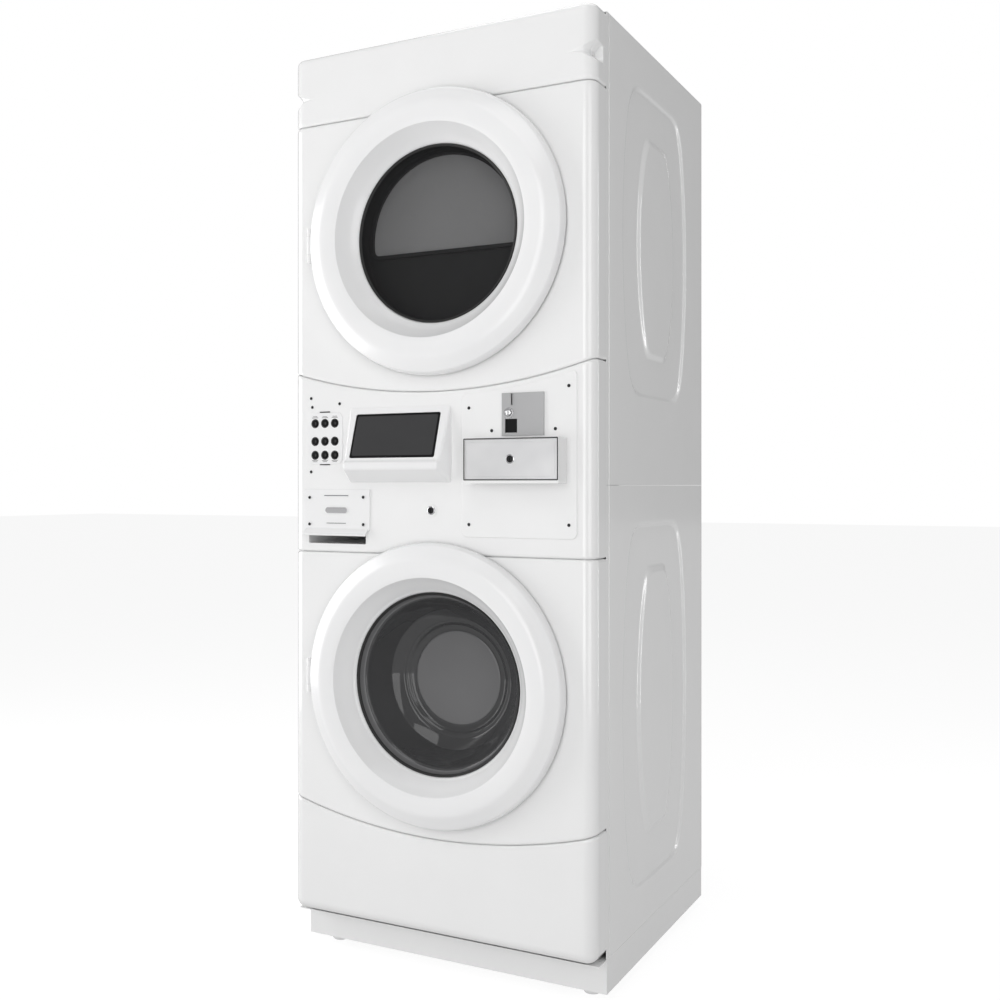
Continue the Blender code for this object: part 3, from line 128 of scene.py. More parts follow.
@dataclass(frozen=True)
class Finish:
    """One real material with its surface.

    Attributes:
        name: the material's common name and how it was made.
        colour: sRGB hex of the clean surface.
        shade: sRGB hex that the surface drifts to over a hand's width.
        roughness: mean roughness.
        metallic: 1 for bare metal.
        pattern: what the surface does close up.
        grain_mm: the pattern's real size.
        relief_mm: how deep the pattern is.
        coat: strength of a clear coat.
        alpha: under 1 for a film that is seen through.
        ior: index of refraction, left at Blender's default for metal.
    """

    name: str
    colour: str
    shade: str
    roughness: float
    pattern: Pattern
    grain_mm: float
    relief_mm: float
    metallic: float = 0.0
    coat: float = 0.0
    alpha: float = 1.0
    ior: float = 1.5

    def material(self) -> bpy.types.Material:
        """Return the Blender material, made on first use."""
        found = bpy.data.materials.get(self.name)
        if found:
            return found
        made = bpy.data.materials.new(self.name)
        made.use_nodes = True
        tree = made.node_tree
        shader = tree.nodes["Principled BSDF"]
        shader.inputs["Metallic"].default_value = self.metallic
        shader.inputs["Coat Weight"].default_value = self.coat
        shader.inputs["Coat Roughness"].default_value = 0.06
        shader.inputs["Alpha"].default_value = self.alpha
        if not self.metallic:
            shader.inputs["IOR"].default_value = self.ior
        place = add_node(tree, "ShaderNodeTexCoord")
        drift = add_node(tree, "ShaderNodeTexNoise", {"Scale": 9.0, "Detail": 2.0}, {"Vector": (place, "Object")})
        height = self.height(tree, place)
        colours = add_node(
            tree, "ShaderNodeMix", {"data_type": "RGBA", 6: linear(self.colour), 7: linear(self.shade)},
            {0: (drift, 0)},
        )
        if self.pattern in (Pattern.PERFORATED, Pattern.GAUZE):
            colours = add_node(
                tree, "ShaderNodeMix", {"data_type": "RGBA", 6: linear("#0c0c0d")}, {0: (height, 0), 7: (colours, 2)}
            )
        tree.links.new(colours.outputs[2], shader.inputs["Base Color"])
        rough = add_node(
            tree, "ShaderNodeMapRange",
            {"To Min": self.roughness * 0.88, "To Max": min(1.0, self.roughness * 1.12)}, {0: (drift, 0)},
        )
        tree.links.new(rough.outputs[0], shader.inputs["Roughness"])
        bump = add_node(
            tree, "ShaderNodeBump", {"Strength": 1.0, "Distance": self.relief_mm / 1000}, {"Height": (height, 0)}
        )
        tree.links.new(bump.outputs[0], shader.inputs["Normal"])
        return made

    def height(self, tree: bpy.types.NodeTree, place: bpy.types.Node) -> bpy.types.Node:
        """Add the nodes that give the pattern's height, from 0 to 1, on their first output."""
        scale = 1000 / self.grain_mm
        at = {"Vector": (place, "Object")}
        if self.pattern is Pattern.BRUSHED:
            lay = add_node(tree, "ShaderNodeMapping", {"Scale": (0.02, 1.0, 1.0)}, at)
            return add_node(tree, "ShaderNodeTexNoise", {"Scale": scale, "Detail": 3.0}, {"Vector": (lay, 0)})
        if self.pattern is Pattern.SPANGLE:
            return add_node(tree, "ShaderNodeTexVoronoi", {"Scale": scale, "feature": "F1"}, at)
        if self.pattern in (Pattern.PERFORATED, Pattern.GAUZE):
            cells = add_node(tree, "ShaderNodeTexVoronoi", {"Scale": scale, "Randomness": 0.0}, at)
            return add_node(
                tree, "ShaderNodeMapRange", {"From Min": 0.18, "From Max": 0.24}, {0: (cells, "Distance")}
            )
        detail = {Pattern.ORANGE_PEEL: 1.0, Pattern.MOULDED: 4.0, Pattern.CAST: 6.0}.get(self.pattern, 0.0)
        return add_node(tree, "ShaderNodeTexNoise", {"Scale": scale, "Detail": detail}, at)


# Baked enamel on steel: a hard gloss with the faint ripple that sprayed paint dries to.
ENAMEL = Finish("baked_enamel_on_steel", "#f3f3f3", "#efefef", 0.16, Pattern.ORANGE_PEEL, 3.0, 0.004, coat=0.35)
# Moulded white ABS: a touch softer in its gloss than the enamel.
ABS_WHITE = Finish("moulded_white_abs", "#f2f2f2", "#ededee", 0.22, Pattern.MOULDED, 1.2, 0.002, coat=0.15)
# Moulded black ABS: near black, with a dull sheen on its edges only.
ABS_BLACK = Finish("moulded_black_abs", "#050506", "#08080a", 0.42, Pattern.MOULDED, 1.0, 0.004, ior=1.30)
# Moulded grey ABS: plain mid grey, even and half matt.
ABS_GREY = Finish("moulded_grey_abs", "#8e8f91", "#838486", 0.42, Pattern.MOULDED, 1.0, 0.010)
# Dark polypropylene: an even mould grain, half matt.
LINER_DARK = Finish("moulded_dark_polypropylene", "#3c3c3d", "#353536", 0.38, Pattern.MOULDED, 1.0, 0.006)
# Screen print: a flat film of ink, with no gloss of its own.
PRINT_GREY = Finish("screen_print_grey", "#77787a", "#6f7072", 0.5, Pattern.MOULDED, 0.8, 0.001)
PRINT_BLACK = Finish("screen_print_black", "#1d1d1e", "#252526", 0.5, Pattern.MOULDED, 0.8, 0.001)
# Brushed stainless steel: long fine lines that stretch each highlight across them.
BRUSHED_STEEL = Finish("brushed_stainless_steel", "#f7f7f7", "#cdcdcf", 0.38, Pattern.BRUSHED, 0.5, 0.006,
                       metallic=0.55)
# Brushed zinc plate: the same lines on a greyer and duller metal.
ZINC_PLATE = Finish("brushed_zinc_plate", "#b9b9ba", "#adadae", 0.42, Pattern.BRUSHED, 0.6, 0.006, metallic=0.35)
# Perforated drum sheet: bright steel with rows of dark holes, drawn at 14 mm so that they show.
DRUM_STEEL = Finish("perforated_stainless_drum", "#c9c9ca", "#bdbdbf", 0.28, Pattern.PERFORATED, 14.0, 0.4,
                    metallic=1.0)
# Chrome plate: small clean highlights on rings and badges.
CHROME = Finish("polished_chrome_plate", "#e8e8e9", "#dedee0", 0.16, Pattern.POLISHED, 30.0, 0.001, metallic=0.7)
# Galvanised sheet: zinc crystals that catch the light one by one.
GALVANISED = Finish("galvanised_sheet_steel", "#b4b7ba", "#a4a7aa", 0.42, Pattern.SPANGLE, 9.0, 0.02, metallic=0.9)
# Blackened steel: dark screw heads with one dull glint.
SCREW_STEEL = Finish("blackened_screw_steel", "#3a3a3b", "#303031", 0.38, Pattern.CAST, 0.6, 0.01, metallic=0.8)
# Painted cast iron: a coarse sand-cast skin under flat dark paint.
CAST_IRON = Finish("painted_cast_iron", "#3c3e40", "#323436", 0.55, Pattern.CAST, 2.5, 0.12)
# Moulded rubber: matt and a little powdery, black on seals and belts, grey on the bellows.
RUBBER_BLACK = Finish("moulded_black_rubber", "#1b1b1b", "#222222", 0.65, Pattern.MOULDED, 1.4, 0.03)
RUBBER_GREY = Finish("moulded_grey_rubber", "#6c6d6e", "#626364", 0.60, Pattern.MOULDED, 1.4, 0.03)
# Woven lint gauze: a square mesh, drawn at 2.4 mm because the real one is too fine to show.
LINT_GAUZE = Finish("woven_lint_gauze", "#b9babb", "#aaabac", 0.55, Pattern.GAUZE, 2.4, 0.2)
# Smoked toughened glass: dark in the mass and mirror-smooth on its face.
SMOKED_GLASS = Finish("smoked_toughened_glass", "#1e1e1f", "#1b1b1c", 0.04, Pattern.POLISHED, 60.0, 0.001, alpha=0.30)
# Pressed smoked glass: thick and dark, with bright lines where it bends.
BOWL_GLASS = Finish("pressed_smoked_bowl_glass", "#525253", "#4b4b4c", 0.05, Pattern.POLISHED, 60.0, 0.001, alpha=0.86)
# Frosted glass: the paler flat floor of the bowl.
BOWL_FLOOR = Finish("frosted_bowl_floor_glass", "#7a7a7b", "#727273", 0.10, Pattern.POLISHED, 60.0, 0.001, alpha=0.94)
# Ground glass: a greyer band where the bowl's rim was ground to seat.
BOWL_RIM = Finish("ground_bowl_rim_glass", "#767677", "#6c6c6d", 0.12, Pattern.POLISHED, 60.0, 0.001)
# Inner grey glass: a flat pale grey behind the smoked pane.
INNER_GLASS = Finish("inner_grey_glass", "#dcdcdd", "#d0d0d1", 0.10, Pattern.POLISHED, 60.0, 0.001, alpha=0.92)
# Display acrylic: charcoal, with a soft even sheen in place of a mirror.
LENS_GLASS = Finish("display_window_acrylic", "#434344", "#3c3c3d", 0.22, Pattern.POLISHED, 40.0, 0.001, ior=1.33)
# Studio vinyl: white and matt, so that it mirrors nothing of the machine.
FLOOR_PAPER = Finish("studio_floor_vinyl", "#f7f7f7", "#f5f5f5", 0.60, Pattern.MOULDED, 2.0, 0.01)


# Shaping tools


def new_object(name: str, shape: bmesh.types.BMesh, finish: Finish, crease: float = 38.0) -> bpy.types.Object:
    """Turn a bmesh into a smooth-shaded object with one finish.

    Args:
        name: the piece's name.
        shape: the bmesh, which is freed.
        finish: what it is made of.
        crease: edges that turn more than this many degrees stay crisp.

    Returns:
        The linked object, at the origin.
    """
    mesh = bpy.data.meshes.new(name)
    shape.to_mesh(mesh)
    shape.free()
    mesh.shade_smooth()
    mesh.set_sharp_from_angle(angle=math.radians(crease))
    made = bpy.data.objects.new(name, mesh)
    bpy.context.scene.collection.objects.link(made)
    mesh.materials.append(finish.material())
    return made


def settle(piece: bpy.types.Object) -> bpy.types.Object:
    """Apply a piece's modifiers, so that its mesh is what shows, and mark the edges that they left sharp."""
    bpy.context.view_layer.update()
    graph = bpy.context.evaluated_depsgraph_get()
    mesh = bpy.data.meshes.new_from_object(piece.evaluated_get(graph))
    old = piece.data
    piece.modifiers.clear()
    piece.data = mesh
    bpy.data.meshes.remove(old)
    mesh.name = piece.name
    mesh.set_sharp_from_angle(angle=math.radians(38))
    return piece


def carve(piece: bpy.types.Object, tool: bpy.types.Object, operation: str = "DIFFERENCE") -> bpy.types.Object:
    """Cut a tool out of a piece, or join it on, and drop the tool."""
    boolean = piece.modifiers.new("carve", "BOOLEAN")
    boolean.object = tool
    boolean.operation = operation
    settle(piece)
    bpy.data.objects.remove(tool, do_unlink=True)
    return piece


def merge(name: str, pieces: Sequence[bpy.types.Object]) -> bpy.types.Object:
    """Join pieces of one finish into one object."""
    shape = bmesh.new()
    material = pieces[0].data.materials[0]
    for piece in pieces:
        bpy.context.view_layer.update()
        start = len(shape.verts)
        shape.from_mesh(piece.data)
        shape.verts.ensure_lookup_table()
        bmesh.ops.transform(shape, matrix=piece.matrix_world, verts=shape.verts[start:])
        bpy.data.objects.remove(piece, do_unlink=True)
    mesh = bpy.data.meshes.new(name)
    shape.to_mesh(mesh)
    shape.free()
    mesh.materials.append(material)
    made = bpy.data.objects.new(name, mesh)
    bpy.context.scene.collection.objects.link(made)
    return made


def lathe(name: str, profile: Sequence[Point], at: Point, finish: Finish, segments: int = 96,
          crease: float = 38.0) -> bpy.types.Object:
    """Turn a profile about a line along Y.

    Args:
        name: the piece's name.
        profile: (radius, proud) points; where the ends aren't on the axis, the profile is closed.
        at: the axis in x and z.
        finish: what it is made of.
        segments: steps round the turn.
        crease: edges that turn more than this many degrees stay crisp.

    Returns:
        The turned piece.
    """
    shape = bmesh.new()
    rings: list[list[bmesh.types.BMVert]] = []
    for radius, proud in profile:
        steps = turns(segments) if radius > ON_AXIS else [(0.0, 0.0)]
        rings.append([shape.verts.new((at[0] + radius * c, FRONT - proud, at[1] + radius * s)) for c, s in steps])
    open_ends = [] if len(rings[0]) == 1 and len(rings[-1]) == 1 else rings[:1]
    for first, second in zip(rings, rings[1:] + open_ends):
        if len(first) == 1 and len(second) == 1:
            continue
        for i in range(segments):
            k = (i + 1) % segments
            corners = [first[i % len(first)], second[i % len(second)], second[k % len(second)], first[k % len(first)]]
            shape.faces.new(list(dict.fromkeys(corners)))
    bmesh.ops.recalc_face_normals(shape, faces=shape.faces)
    return new_object(name, shape, finish, crease)


def thicken(outer: Sequence[Point], wall: float) -> list[Point]:
    """Return a closed profile: the outer line, and the same line moved in by the wall."""
    inner = []
    for i, (radius, proud) in enumerate(outer):
        before, after = Vector(outer[max(i - 1, 0)]), Vector(outer[min(i + 1, len(outer) - 1)])
        along = (after - before).normalized()
        inner.append((radius - along.y * wall, proud + along.x * wall))
    return list(outer) + inner[::-1]


def smooth_line(points: Sequence[Point], steps: int = 6) -> list[Point]:
    """Return a finer line through the same points, smooth by Catmull and Rom's rule."""
    ends = [points[0]] + list(points) + [points[-1]]
    line: list[Point] = []
    for a, b, c, d in zip(ends, ends[1:], ends[2:], ends[3:]):
        for i in range(steps):
            t = i / steps
            line.append(tuple(
                0.5 * (2 * q + (r - p) * t + (2 * p - 5 * q + 4 * r - s) * t * t + (3 * q - p - 3 * r + s) * t ** 3)
                for p, q, r, s in zip(a, b, c, d)
            ))
    return line + [points[-1]]


def slab(name: str, outline: Sequence[Point], back: float, front: float, finish: Finish,
         bevel: float = 0.0006) -> bpy.types.Object:
    """Extrude an (x, z) outline between two proud distances, with its front edge rounded."""
    shape = bmesh.new()
    face = shape.faces.new([shape.verts.new((x, FRONT - back, z)) for x, z in outline])
    raised = bmesh.ops.extrude_face_region(shape, geom=[face])
    top = [v for v in raised["geom"] if isinstance(v, bmesh.types.BMVert)]
    bmesh.ops.translate(shape, vec=(0.0, back - front, 0.0), verts=top)
    bmesh.ops.recalc_face_normals(shape, faces=shape.faces)
    if bevel:
        chosen = set(top)
        edges = [e for e in shape.edges if e.verts[0] in chosen and e.verts[1] in chosen]
        bmesh.ops.bevel(shape, geom=edges, offset=bevel, segments=3, profile=0.6, affect="EDGES")
    return new_object(name, shape, finish, 50.0)


def block(name: str, low: Sequence[float], high: Sequence[float], finish: Finish, bevel: float = 0.001,
          segments: int = 3) -> bpy.types.Object:
    """Make a box between two corners with rounded edges."""
    shape = bmesh.new()
    bmesh.ops.create_cube(shape, size=1.0)
    low, high = Vector(low), Vector(high)
    for vert in shape.verts:
        vert.co = Vector(a + (b - a) * (c + 0.5) for a, b, c in zip(low, high, vert.co))
    if bevel:
        bmesh.ops.bevel(shape, geom=list(shape.edges), offset=bevel, segments=segments, profile=0.5, affect="EDGES")
    return new_object(name, shape, finish, 50.0)


def front_block(name: str, left: float, right: float, bottom: float, top: float, back: float, front: float,
                finish: Finish, bevel: float = 0.001) -> bpy.types.Object:
    """Make a rounded box given by its sides and how proud its two faces stand."""
    return block(name, (left, FRONT - front, bottom), (right, FRONT - back, top), finish, bevel)


def rounded(left: float, right: float, bottom: float, top: float, radius: float, steps: int = 6) -> list[Point]:
    """Return a rectangle's outline in x and z, with round corners."""
    outline = []
    corners = ((right, top, 0), (left, top, 1), (left, bottom, 2), (right, bottom, 3))
    for x, z, quarter in corners:
        cx = x - math.copysign(radius, x - (left + right) / 2)
        cz = z - math.copysign(radius, z - (bottom + top) / 2)
        for i in range(steps + 1):
            turn = math.pi / 2 * (quarter + i / steps)
            outline.append((cx + radius * math.cos(turn), cz + radius * math.sin(turn)))
    return outline


def turns(steps: int) -> list[Point]:
    """Return the cosine and sine at even steps round a full turn."""
    return [(math.cos(2 * math.pi * i / steps), math.sin(2 * math.pi * i / steps)) for i in range(steps)]


def quads(shape: bmesh.types.BMesh, rows: Sequence[Sequence[bmesh.types.BMVert]], closed: bool = True) -> None:
    """Join neighbouring rows with four-sided faces, right round each row where it is closed."""
    for lower, upper in zip(rows, rows[1:]):
        count = len(lower)
        for j in range(count if closed else count - 1):
            k = (j + 1) % count
            shape.faces.new((lower[j], lower[k], upper[k], upper[j]))


def drill(piece: bpy.types.Object, at: Point, radius: float, segments: int = 40, middle: float = 0.0) -> None:
    """Cut a round hole along Y through a piece, about a middle proud distance."""
    front, back = middle + CUT_REACH, middle - CUT_REACH
    carve(piece, lathe("drill", [(0.0, front), (radius, front), (radius, back), (0.0, back)], at, ENAMEL, segments))


def punch(piece: bpy.types.Object, outline: Sequence[Point], back: float = -0.02, front: float = 0.02) -> None:
    """Cut an outline in x and z through a piece, between two proud distances."""
    carve(piece, slab("punch", outline, back, front, ENAMEL, 0.0))


def round_face(node: str) -> tuple[Point, float]:
    """Return the middle in x and z of a round node, and its radius."""
    low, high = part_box(node)
    return ((low.x + high.x) / 2, (low.z + high.z) / 2), (high.x - low.x) / 2


def opening(node: str, side: float, bottom: float, top: float) -> list[Point]:
    """Return the round-cornered hole behind a node, this far inside its edges."""
    low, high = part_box(node)
    return rounded(low.x + side, high.x - side, low.z + bottom, high.z - top, 0.003)


def backed(face: bpy.types.Object) -> bpy.types.Object:
    """Give a bent face the thickness of the sheet, to its back."""
    solid = face.modifiers.new("sheet", "SOLIDIFY")
    solid.thickness = SHEET
    solid.offset = -1.0
    return settle(face)


def sheet(name: str, rows: Sequence[Sequence[Sequence[float]]], finish: Finish) -> bpy.types.Object:
    """Make a bent sheet through rows of points, thickened to its back."""
    shape = bmesh.new()
    quads(shape, [[shape.verts.new(point) for point in row] for row in rows], closed=False)
    return backed(new_object(name, shape, finish, 50.0))


def mount(piece: bpy.types.Object, body: str, replaces: Sequence[str] = ()) -> bpy.types.Object:
    """Ride a piece on a body, hide the CAD nodes that it stands for and log it.

    Its normals are weighed by face area, so that broad faces look flat up to their rounded edges.
    """
    weigh = piece.modifiers.new("weigh", "WEIGHTED_NORMAL")
    weigh.keep_sharp = True
    weigh.weight = 90
    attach(piece, body)
    if replaces:
        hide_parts(*replaces)
    LOG.info("%s rides on %s", piece.name, body)
    return piece


def axis_height(hinge: str) -> float:
    """Return the height of a hinge's middle, which is its door's too."""
    low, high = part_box(hinge)
    return (low.z + high.z) / 2


def dress(node: str, finish: Finish, bevel: float = 0.0) -> None:
    """Give a CAD node its finish and smooth shading, and round its edges where asked."""
    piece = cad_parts[node]
    piece.data.materials.clear()
    piece.data.materials.append(finish.material())
    piece.data.polygons.foreach_set("use_smooth", [True] * len(piece.data.polygons))
    weld = piece.modifiers.new("weld", "WELD")
    weld.merge_threshold = 1e-5
    if bevel:
        rounding = piece.modifiers.new("round", "BEVEL")
        rounding.width = bevel
        rounding.segments = 2
        rounding.limit_method = "ANGLE"
        rounding.angle_limit = math.radians(40)
    split = piece.modifiers.new("crease", "EDGE_SPLIT")
    split.split_angle = math.radians(40)
    weigh = piece.modifiers.new("weigh", "WEIGHTED_NORMAL")
    weigh.weight = 90
    LOG.info("%s dressed in %s", node, finish.name)


# Cabinet


@dataclass
class FrontSkin:
    """The five enamelled front panels, the top and the plinth."""

    corner: float = 0.025
    lip: float = 0.0045
    arch_radius: float = 1.18
    scoop_z: float = 1.825
    scoop_height: float = 0.038
    scoop_depth: float = 0.015
    top_curl: float = 0.012
    toe_curl: float = 0.022
    dryer_mouth: float = 0.225
    washer_mouth: float = 0.232
    flange_depth: float = 0.0068

    def path(self, inset: float, corner_steps: int = 14, flat_steps: int = 36) -> list[Point]:
        """Return plan points round the front, this far inside its surface."""
        radius = self.corner - inset
        left = []
        for i in range(corner_steps + 1):
            turn = math.pi + math.pi / 2 * i / corner_steps
            x = -SIDE + self.corner + radius * math.cos(turn)
            left.append((x, FRONT + self.corner + radius * math.sin(turn)))
        flat = SIDE - self.corner
        middle = [(-flat + 2 * flat * i / flat_steps, FRONT + inset) for i in range(1, flat_steps)]
        near = FRONT + self.corner + 0.004
        stops = [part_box("console_panel")[1].y, near + 0.017, near + 0.013, near]
        right = [(-x, y) for x, y in reversed(left)]
        side = SIDE - inset
        first = [(-side, y) for y in stops]
        last = [(side, y) for y in reversed(stops)]
        return first + left + middle + right + last

    def arch(self, lowest: float) -> Height:
        """Return the height of an arched seam at each x."""
        radius = self.arch_radius
        return lambda x: lowest + radius - math.sqrt(radius * radius - x * x)

    def edge(self, height: Height, direction: int) -> list[tuple[float, Height]]:
        """Return the rows of a rolled edge, from its very edge inwards."""
        rows = []
        for step in range(7):
            turn = math.pi / 2 * step / 6
            inset = self.lip * (1 - math.sin(turn))
            rise = self.lip * 1.3 * (1 - math.cos(turn))
            rows.append((inset, lambda x, rise=rise: height(x) + direction * rise))
        rows.append((0.0, lambda x: height(x) + direction * (self.lip * 1.3 + 0.003)))
        return rows

    def shell(self, name: str, rows: Sequence[tuple[float, Height]]) -> bpy.types.Object:
        """Make one front panel from its rows."""
        plan = self.path(0.0)
        points = [[(x, y, height(px)) for (x, y), (px, _) in zip(self.path(inset), plan)] for inset, height in rows]
        return sheet(name, points, ENAMEL)

    def panel(self, name: str, node: str, bottom: Height, top: Height) -> bpy.types.Object:
        """Make a plain front panel between two seams, standing for a node."""
        piece = self.shell(name, self.edge(bottom, 1) + self.edge(top, -1)[::-1])
        return mount(piece, ROOT, [node])

    def fascia(self) -> None:
        """Make the top fascia, curled over at the top and scooped at both corners."""
        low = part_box("top_fascia")[0].z
        plan = self.path(0.0)
        rows = [[(x, y, height(px)) for (x, y), (px, _) in zip(self.path(inset), plan)]
                for inset, height in self.edge(lambda x: low, 1)]
        half = self.scoop_height / 2
        deep = self.path(self.scoop_depth)
        for step in range(-10, 11):
            share = step / 10
            across = max(0.0, min(1.0, (1 - abs(share)) / 0.75))
            row = []
            for (x, y), (dx, dy) in zip(plan, deep):
                along = max(0.0, min(1.0, (abs(x) - SIDE + self.corner + 0.007) / 0.030))
                open_back = 0.0 if y > FRONT + self.corner + 0.018 else 1.0
                weight = across * along * open_back
                height = self.scoop_z + share * half * (0.12 + 0.88 * along)
                row.append((x + (dx - x) * weight, y + (dy - y) * weight, height))
            rows.append(row)
        for step in range(9):
            turn = math.pi / 2 * step / 8
            inset = self.top_curl * (1 - math.cos(turn))
            height = TOP - self.top_curl * (1 - math.sin(turn))
            rows.append([(x, y, height) for x, y in self.path(inset)])
        rows.append([(x, y, TOP) for x, y in self.path(0.022)])
        mount(sheet("fascia_skin", rows, ENAMEL), ROOT, ["top_fascia"])

    def toe(self, top: Height) -> None:
        """Make the toe panel, curled back at the bottom."""
        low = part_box("toe_panel")[0].z
        rows = []
        for step in range(9):
            turn = math.pi / 2 * step / 8
            inset = self.toe_curl * (1 - math.sin(turn))
            height = low + self.toe_curl * (1 - math.cos(turn))
            rows.append((inset, lambda x, height=height: height))
        rows.append((0.0, lambda x: low + self.toe_curl + 0.003))
        mount(self.shell("toe_skin", rows + self.edge(top, -1)[::-1]), ROOT, ["toe_panel"])

    def build(self) -> bpy.types.Object:
        """Make every front panel and return the console's, which the controls cut."""
        console_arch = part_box("dryer_front_panel")[0].z
        toe_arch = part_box("washer_front_panel")[0].z
        console_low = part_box("console_panel")[0].z
        fascia_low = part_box("top_fascia")[0].z
        self.fascia()
        for machine, bottom, top, mouth in (("dryer", console_arch, fascia_low, self.dryer_mouth),
                                            ("washer", toe_arch, console_low, self.washer_mouth)):
            skin = self.panel(f"{machine}_front_skin", f"{machine}_front_panel", self.arch(bottom),
                              lambda x, top=top: top - SHEET)
            drill(skin, (0.0, axis_height(f"{machine}_hinge")), mouth, 128)
        console = self.shell("console_skin", self.edge(lambda x: console_low, 1)
                             + self.edge(self.arch(console_arch - SHEET), -1)[::-1])
        self.toe(self.arch(toe_arch - SHEET))
        seams = []
        for height in (self.arch(toe_arch), lambda x: console_low, self.arch(console_arch), lambda x: fascia_low):
            rows = [(self.flange_depth, lambda x, h=height, lift=lift: h(x) + lift) for lift in (-0.008, 0.006)]
            seams.append(self.shell("seam_flange", rows))
        mount(merge("seam_flanges", seams), ROOT)
        dress("top_panel", ENAMEL)
        dress("base_frame", ENAMEL, 0.0010)
        return console


@dataclass
class SideSkin:
    """The two cabinet wraps, with the barrel fields pressed into their sides."""

    groove_start: float = 0.011
    groove_width: float = 0.006
    groove_depth: float = 0.002
    press: float = 0.0045
    outer_ramp: float = 0.011
    inner_ramp: float = 0.018
    field_y: float = 0.374
    outer_half: Point = (0.217, 0.170)
    inner_half: Point = (0.127, 0.078)
    points: int = 96
    duct_radius: float = 0.0555
    washer_fields: Fields = (0.546, 0.378, 0.548, 0.285)
    dryer_fields: Fields = (1.505, 0.322, 1.502, 0.236)

    def barrel(self, half: Point, height: float, grow: float, centre: Point) -> list[Point]:
        """Return a barrel's outline in y and z, with bowed sides and round ends."""
        wide, narrow, tall = half[0] + grow, half[1] + grow, height + grow
        outline = []
        for i in range(self.points):
            turn = 2 * math.pi * i / self.points
            dy, dz = wide * math.cos(turn), tall * math.sin(turn)
            low, high = 0.0, 2.0
            for _ in range(30):
                share = (low + high) / 2
                level = min(1.0, abs(dz * share) / tall)
                width = wide - (wide - narrow) * level * level
                size = (abs(dy * share) / width) ** 9 + (abs(dz * share) / tall) ** 9
                low, high = (share, high) if size < 1 else (low, share)
            outline.append((centre[0] + dy * low, centre[1] + dz * low))
        return outline

    def frame_loop(self, near: float, far: float, bottom: float, top: float) -> list[Point]:
        """Return the side's own outline, with as many points as a barrel and a point on each corner."""
        corners = [(far, top), (near, top), (near, bottom), (far, bottom)]
        quarter = self.points // 4
        outline = []
        for i in range(self.points):
            place = (i - quarter // 2) % self.points
            start, share = place // quarter, (place % quarter) / quarter
            (y0, z0), (y1, z1) = corners[start], corners[(start + 1) % 4]
            outline.append((y0 + (y1 - y0) * share, z0 + (z1 - z0) * share))
        return outline

    def side(self, name: str, hand: int, bottom: float, top: float, fields: Fields) -> bpy.types.Object:
        """Make one pressed side.

        Args:
            name: the piece's name.
            hand: +1 for the right side, -1 for the left.
            bottom: the sheet's lower edge.
            top: its upper edge.
            fields: middle and half height of the outer field, then of the inner one.

        Returns:
            The side as a bent sheet.
        """
        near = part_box("console_panel")[1].y + self.groove_start + self.groove_width
        centre_y = FRONT + self.field_y
        outer_z, outer_tall, inner_z, inner_tall = fields
        outer, inner = (centre_y, outer_z), (centre_y + 0.005, inner_z)
        loops = [(self.frame_loop(near, REAR, bottom, top), 0.0),
                 (self.barrel(self.outer_half, outer_tall, 0.004, outer), 0.0)]
        for share in (step / 5 for step in range(6)):
            sunk = share * share * (3 - 2 * share)
            loops.append((self.barrel(self.outer_half, outer_tall, -self.outer_ramp * share, outer), sunk))
        for share in (step / 7 for step in range(8)):
            sunk = 1 - share * share * (3 - 2 * share)
            loops.append((self.barrel(self.inner_half, inner_tall, -self.inner_ramp * share, inner), sunk))
        shape = bmesh.new()
        grid = [[shape.verts.new((hand * (SIDE - self.press * sunk), y, z)) for y, z in outline]
                for outline, sunk in loops]
        quads(shape, grid)
        shape.faces.new(grid[-1])
        if hand < 0:
            bmesh.ops.reverse_faces(shape, faces=shape.faces)
        return backed(new_object(name, shape, ENAMEL, 60.0))

    def wrap(self, name: str, node: str, fields: Fields, exhaust: float = 0.0) -> None:
        """Make one wrap: two pressed sides, their front grooves and the rear."""
        low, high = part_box(node)
        start = low.y
        deep = self.groove_depth
        groove = [
            (SIDE, start),
            (SIDE, start + self.groove_start),
            (SIDE - deep, start + self.groove_start + deep * 0.6),
            (SIDE - deep, start + self.groove_start + self.groove_width - deep * 0.6),
            (SIDE, start + self.groove_start + self.groove_width),
        ]
        rims = [sheet(name + "_groove", [[(hand * x, y, z) for x, y in groove[::hand]] for z in (low.z, high.z)],
                      ENAMEL) for hand in (1, -1)]
        rear = sheet(name + "_rear", [[(SIDE, REAR, z), (-SIDE, REAR, z)] for z in (low.z, high.z)], ENAMEL)
        if exhaust:
            drill(rear, (0.0, exhaust), self.duct_radius, 64, FRONT - REAR)
        sides = [self.side(name + "_side", hand, low.z, high.z, fields) for hand in (1, -1)]
        mount(merge(name, rims + [rear] + sides), ROOT, [node])

    def build(self) -> None:
        """Make both wraps."""
        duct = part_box("blower_housing")
        self.wrap("washer_wrap_skin", "washer_cabinet", self.washer_fields)
        self.wrap("dryer_wrap_skin", "dryer_cabinet", self.dryer_fields, (duct[1].z + duct[0].z) / 2)


# Doors


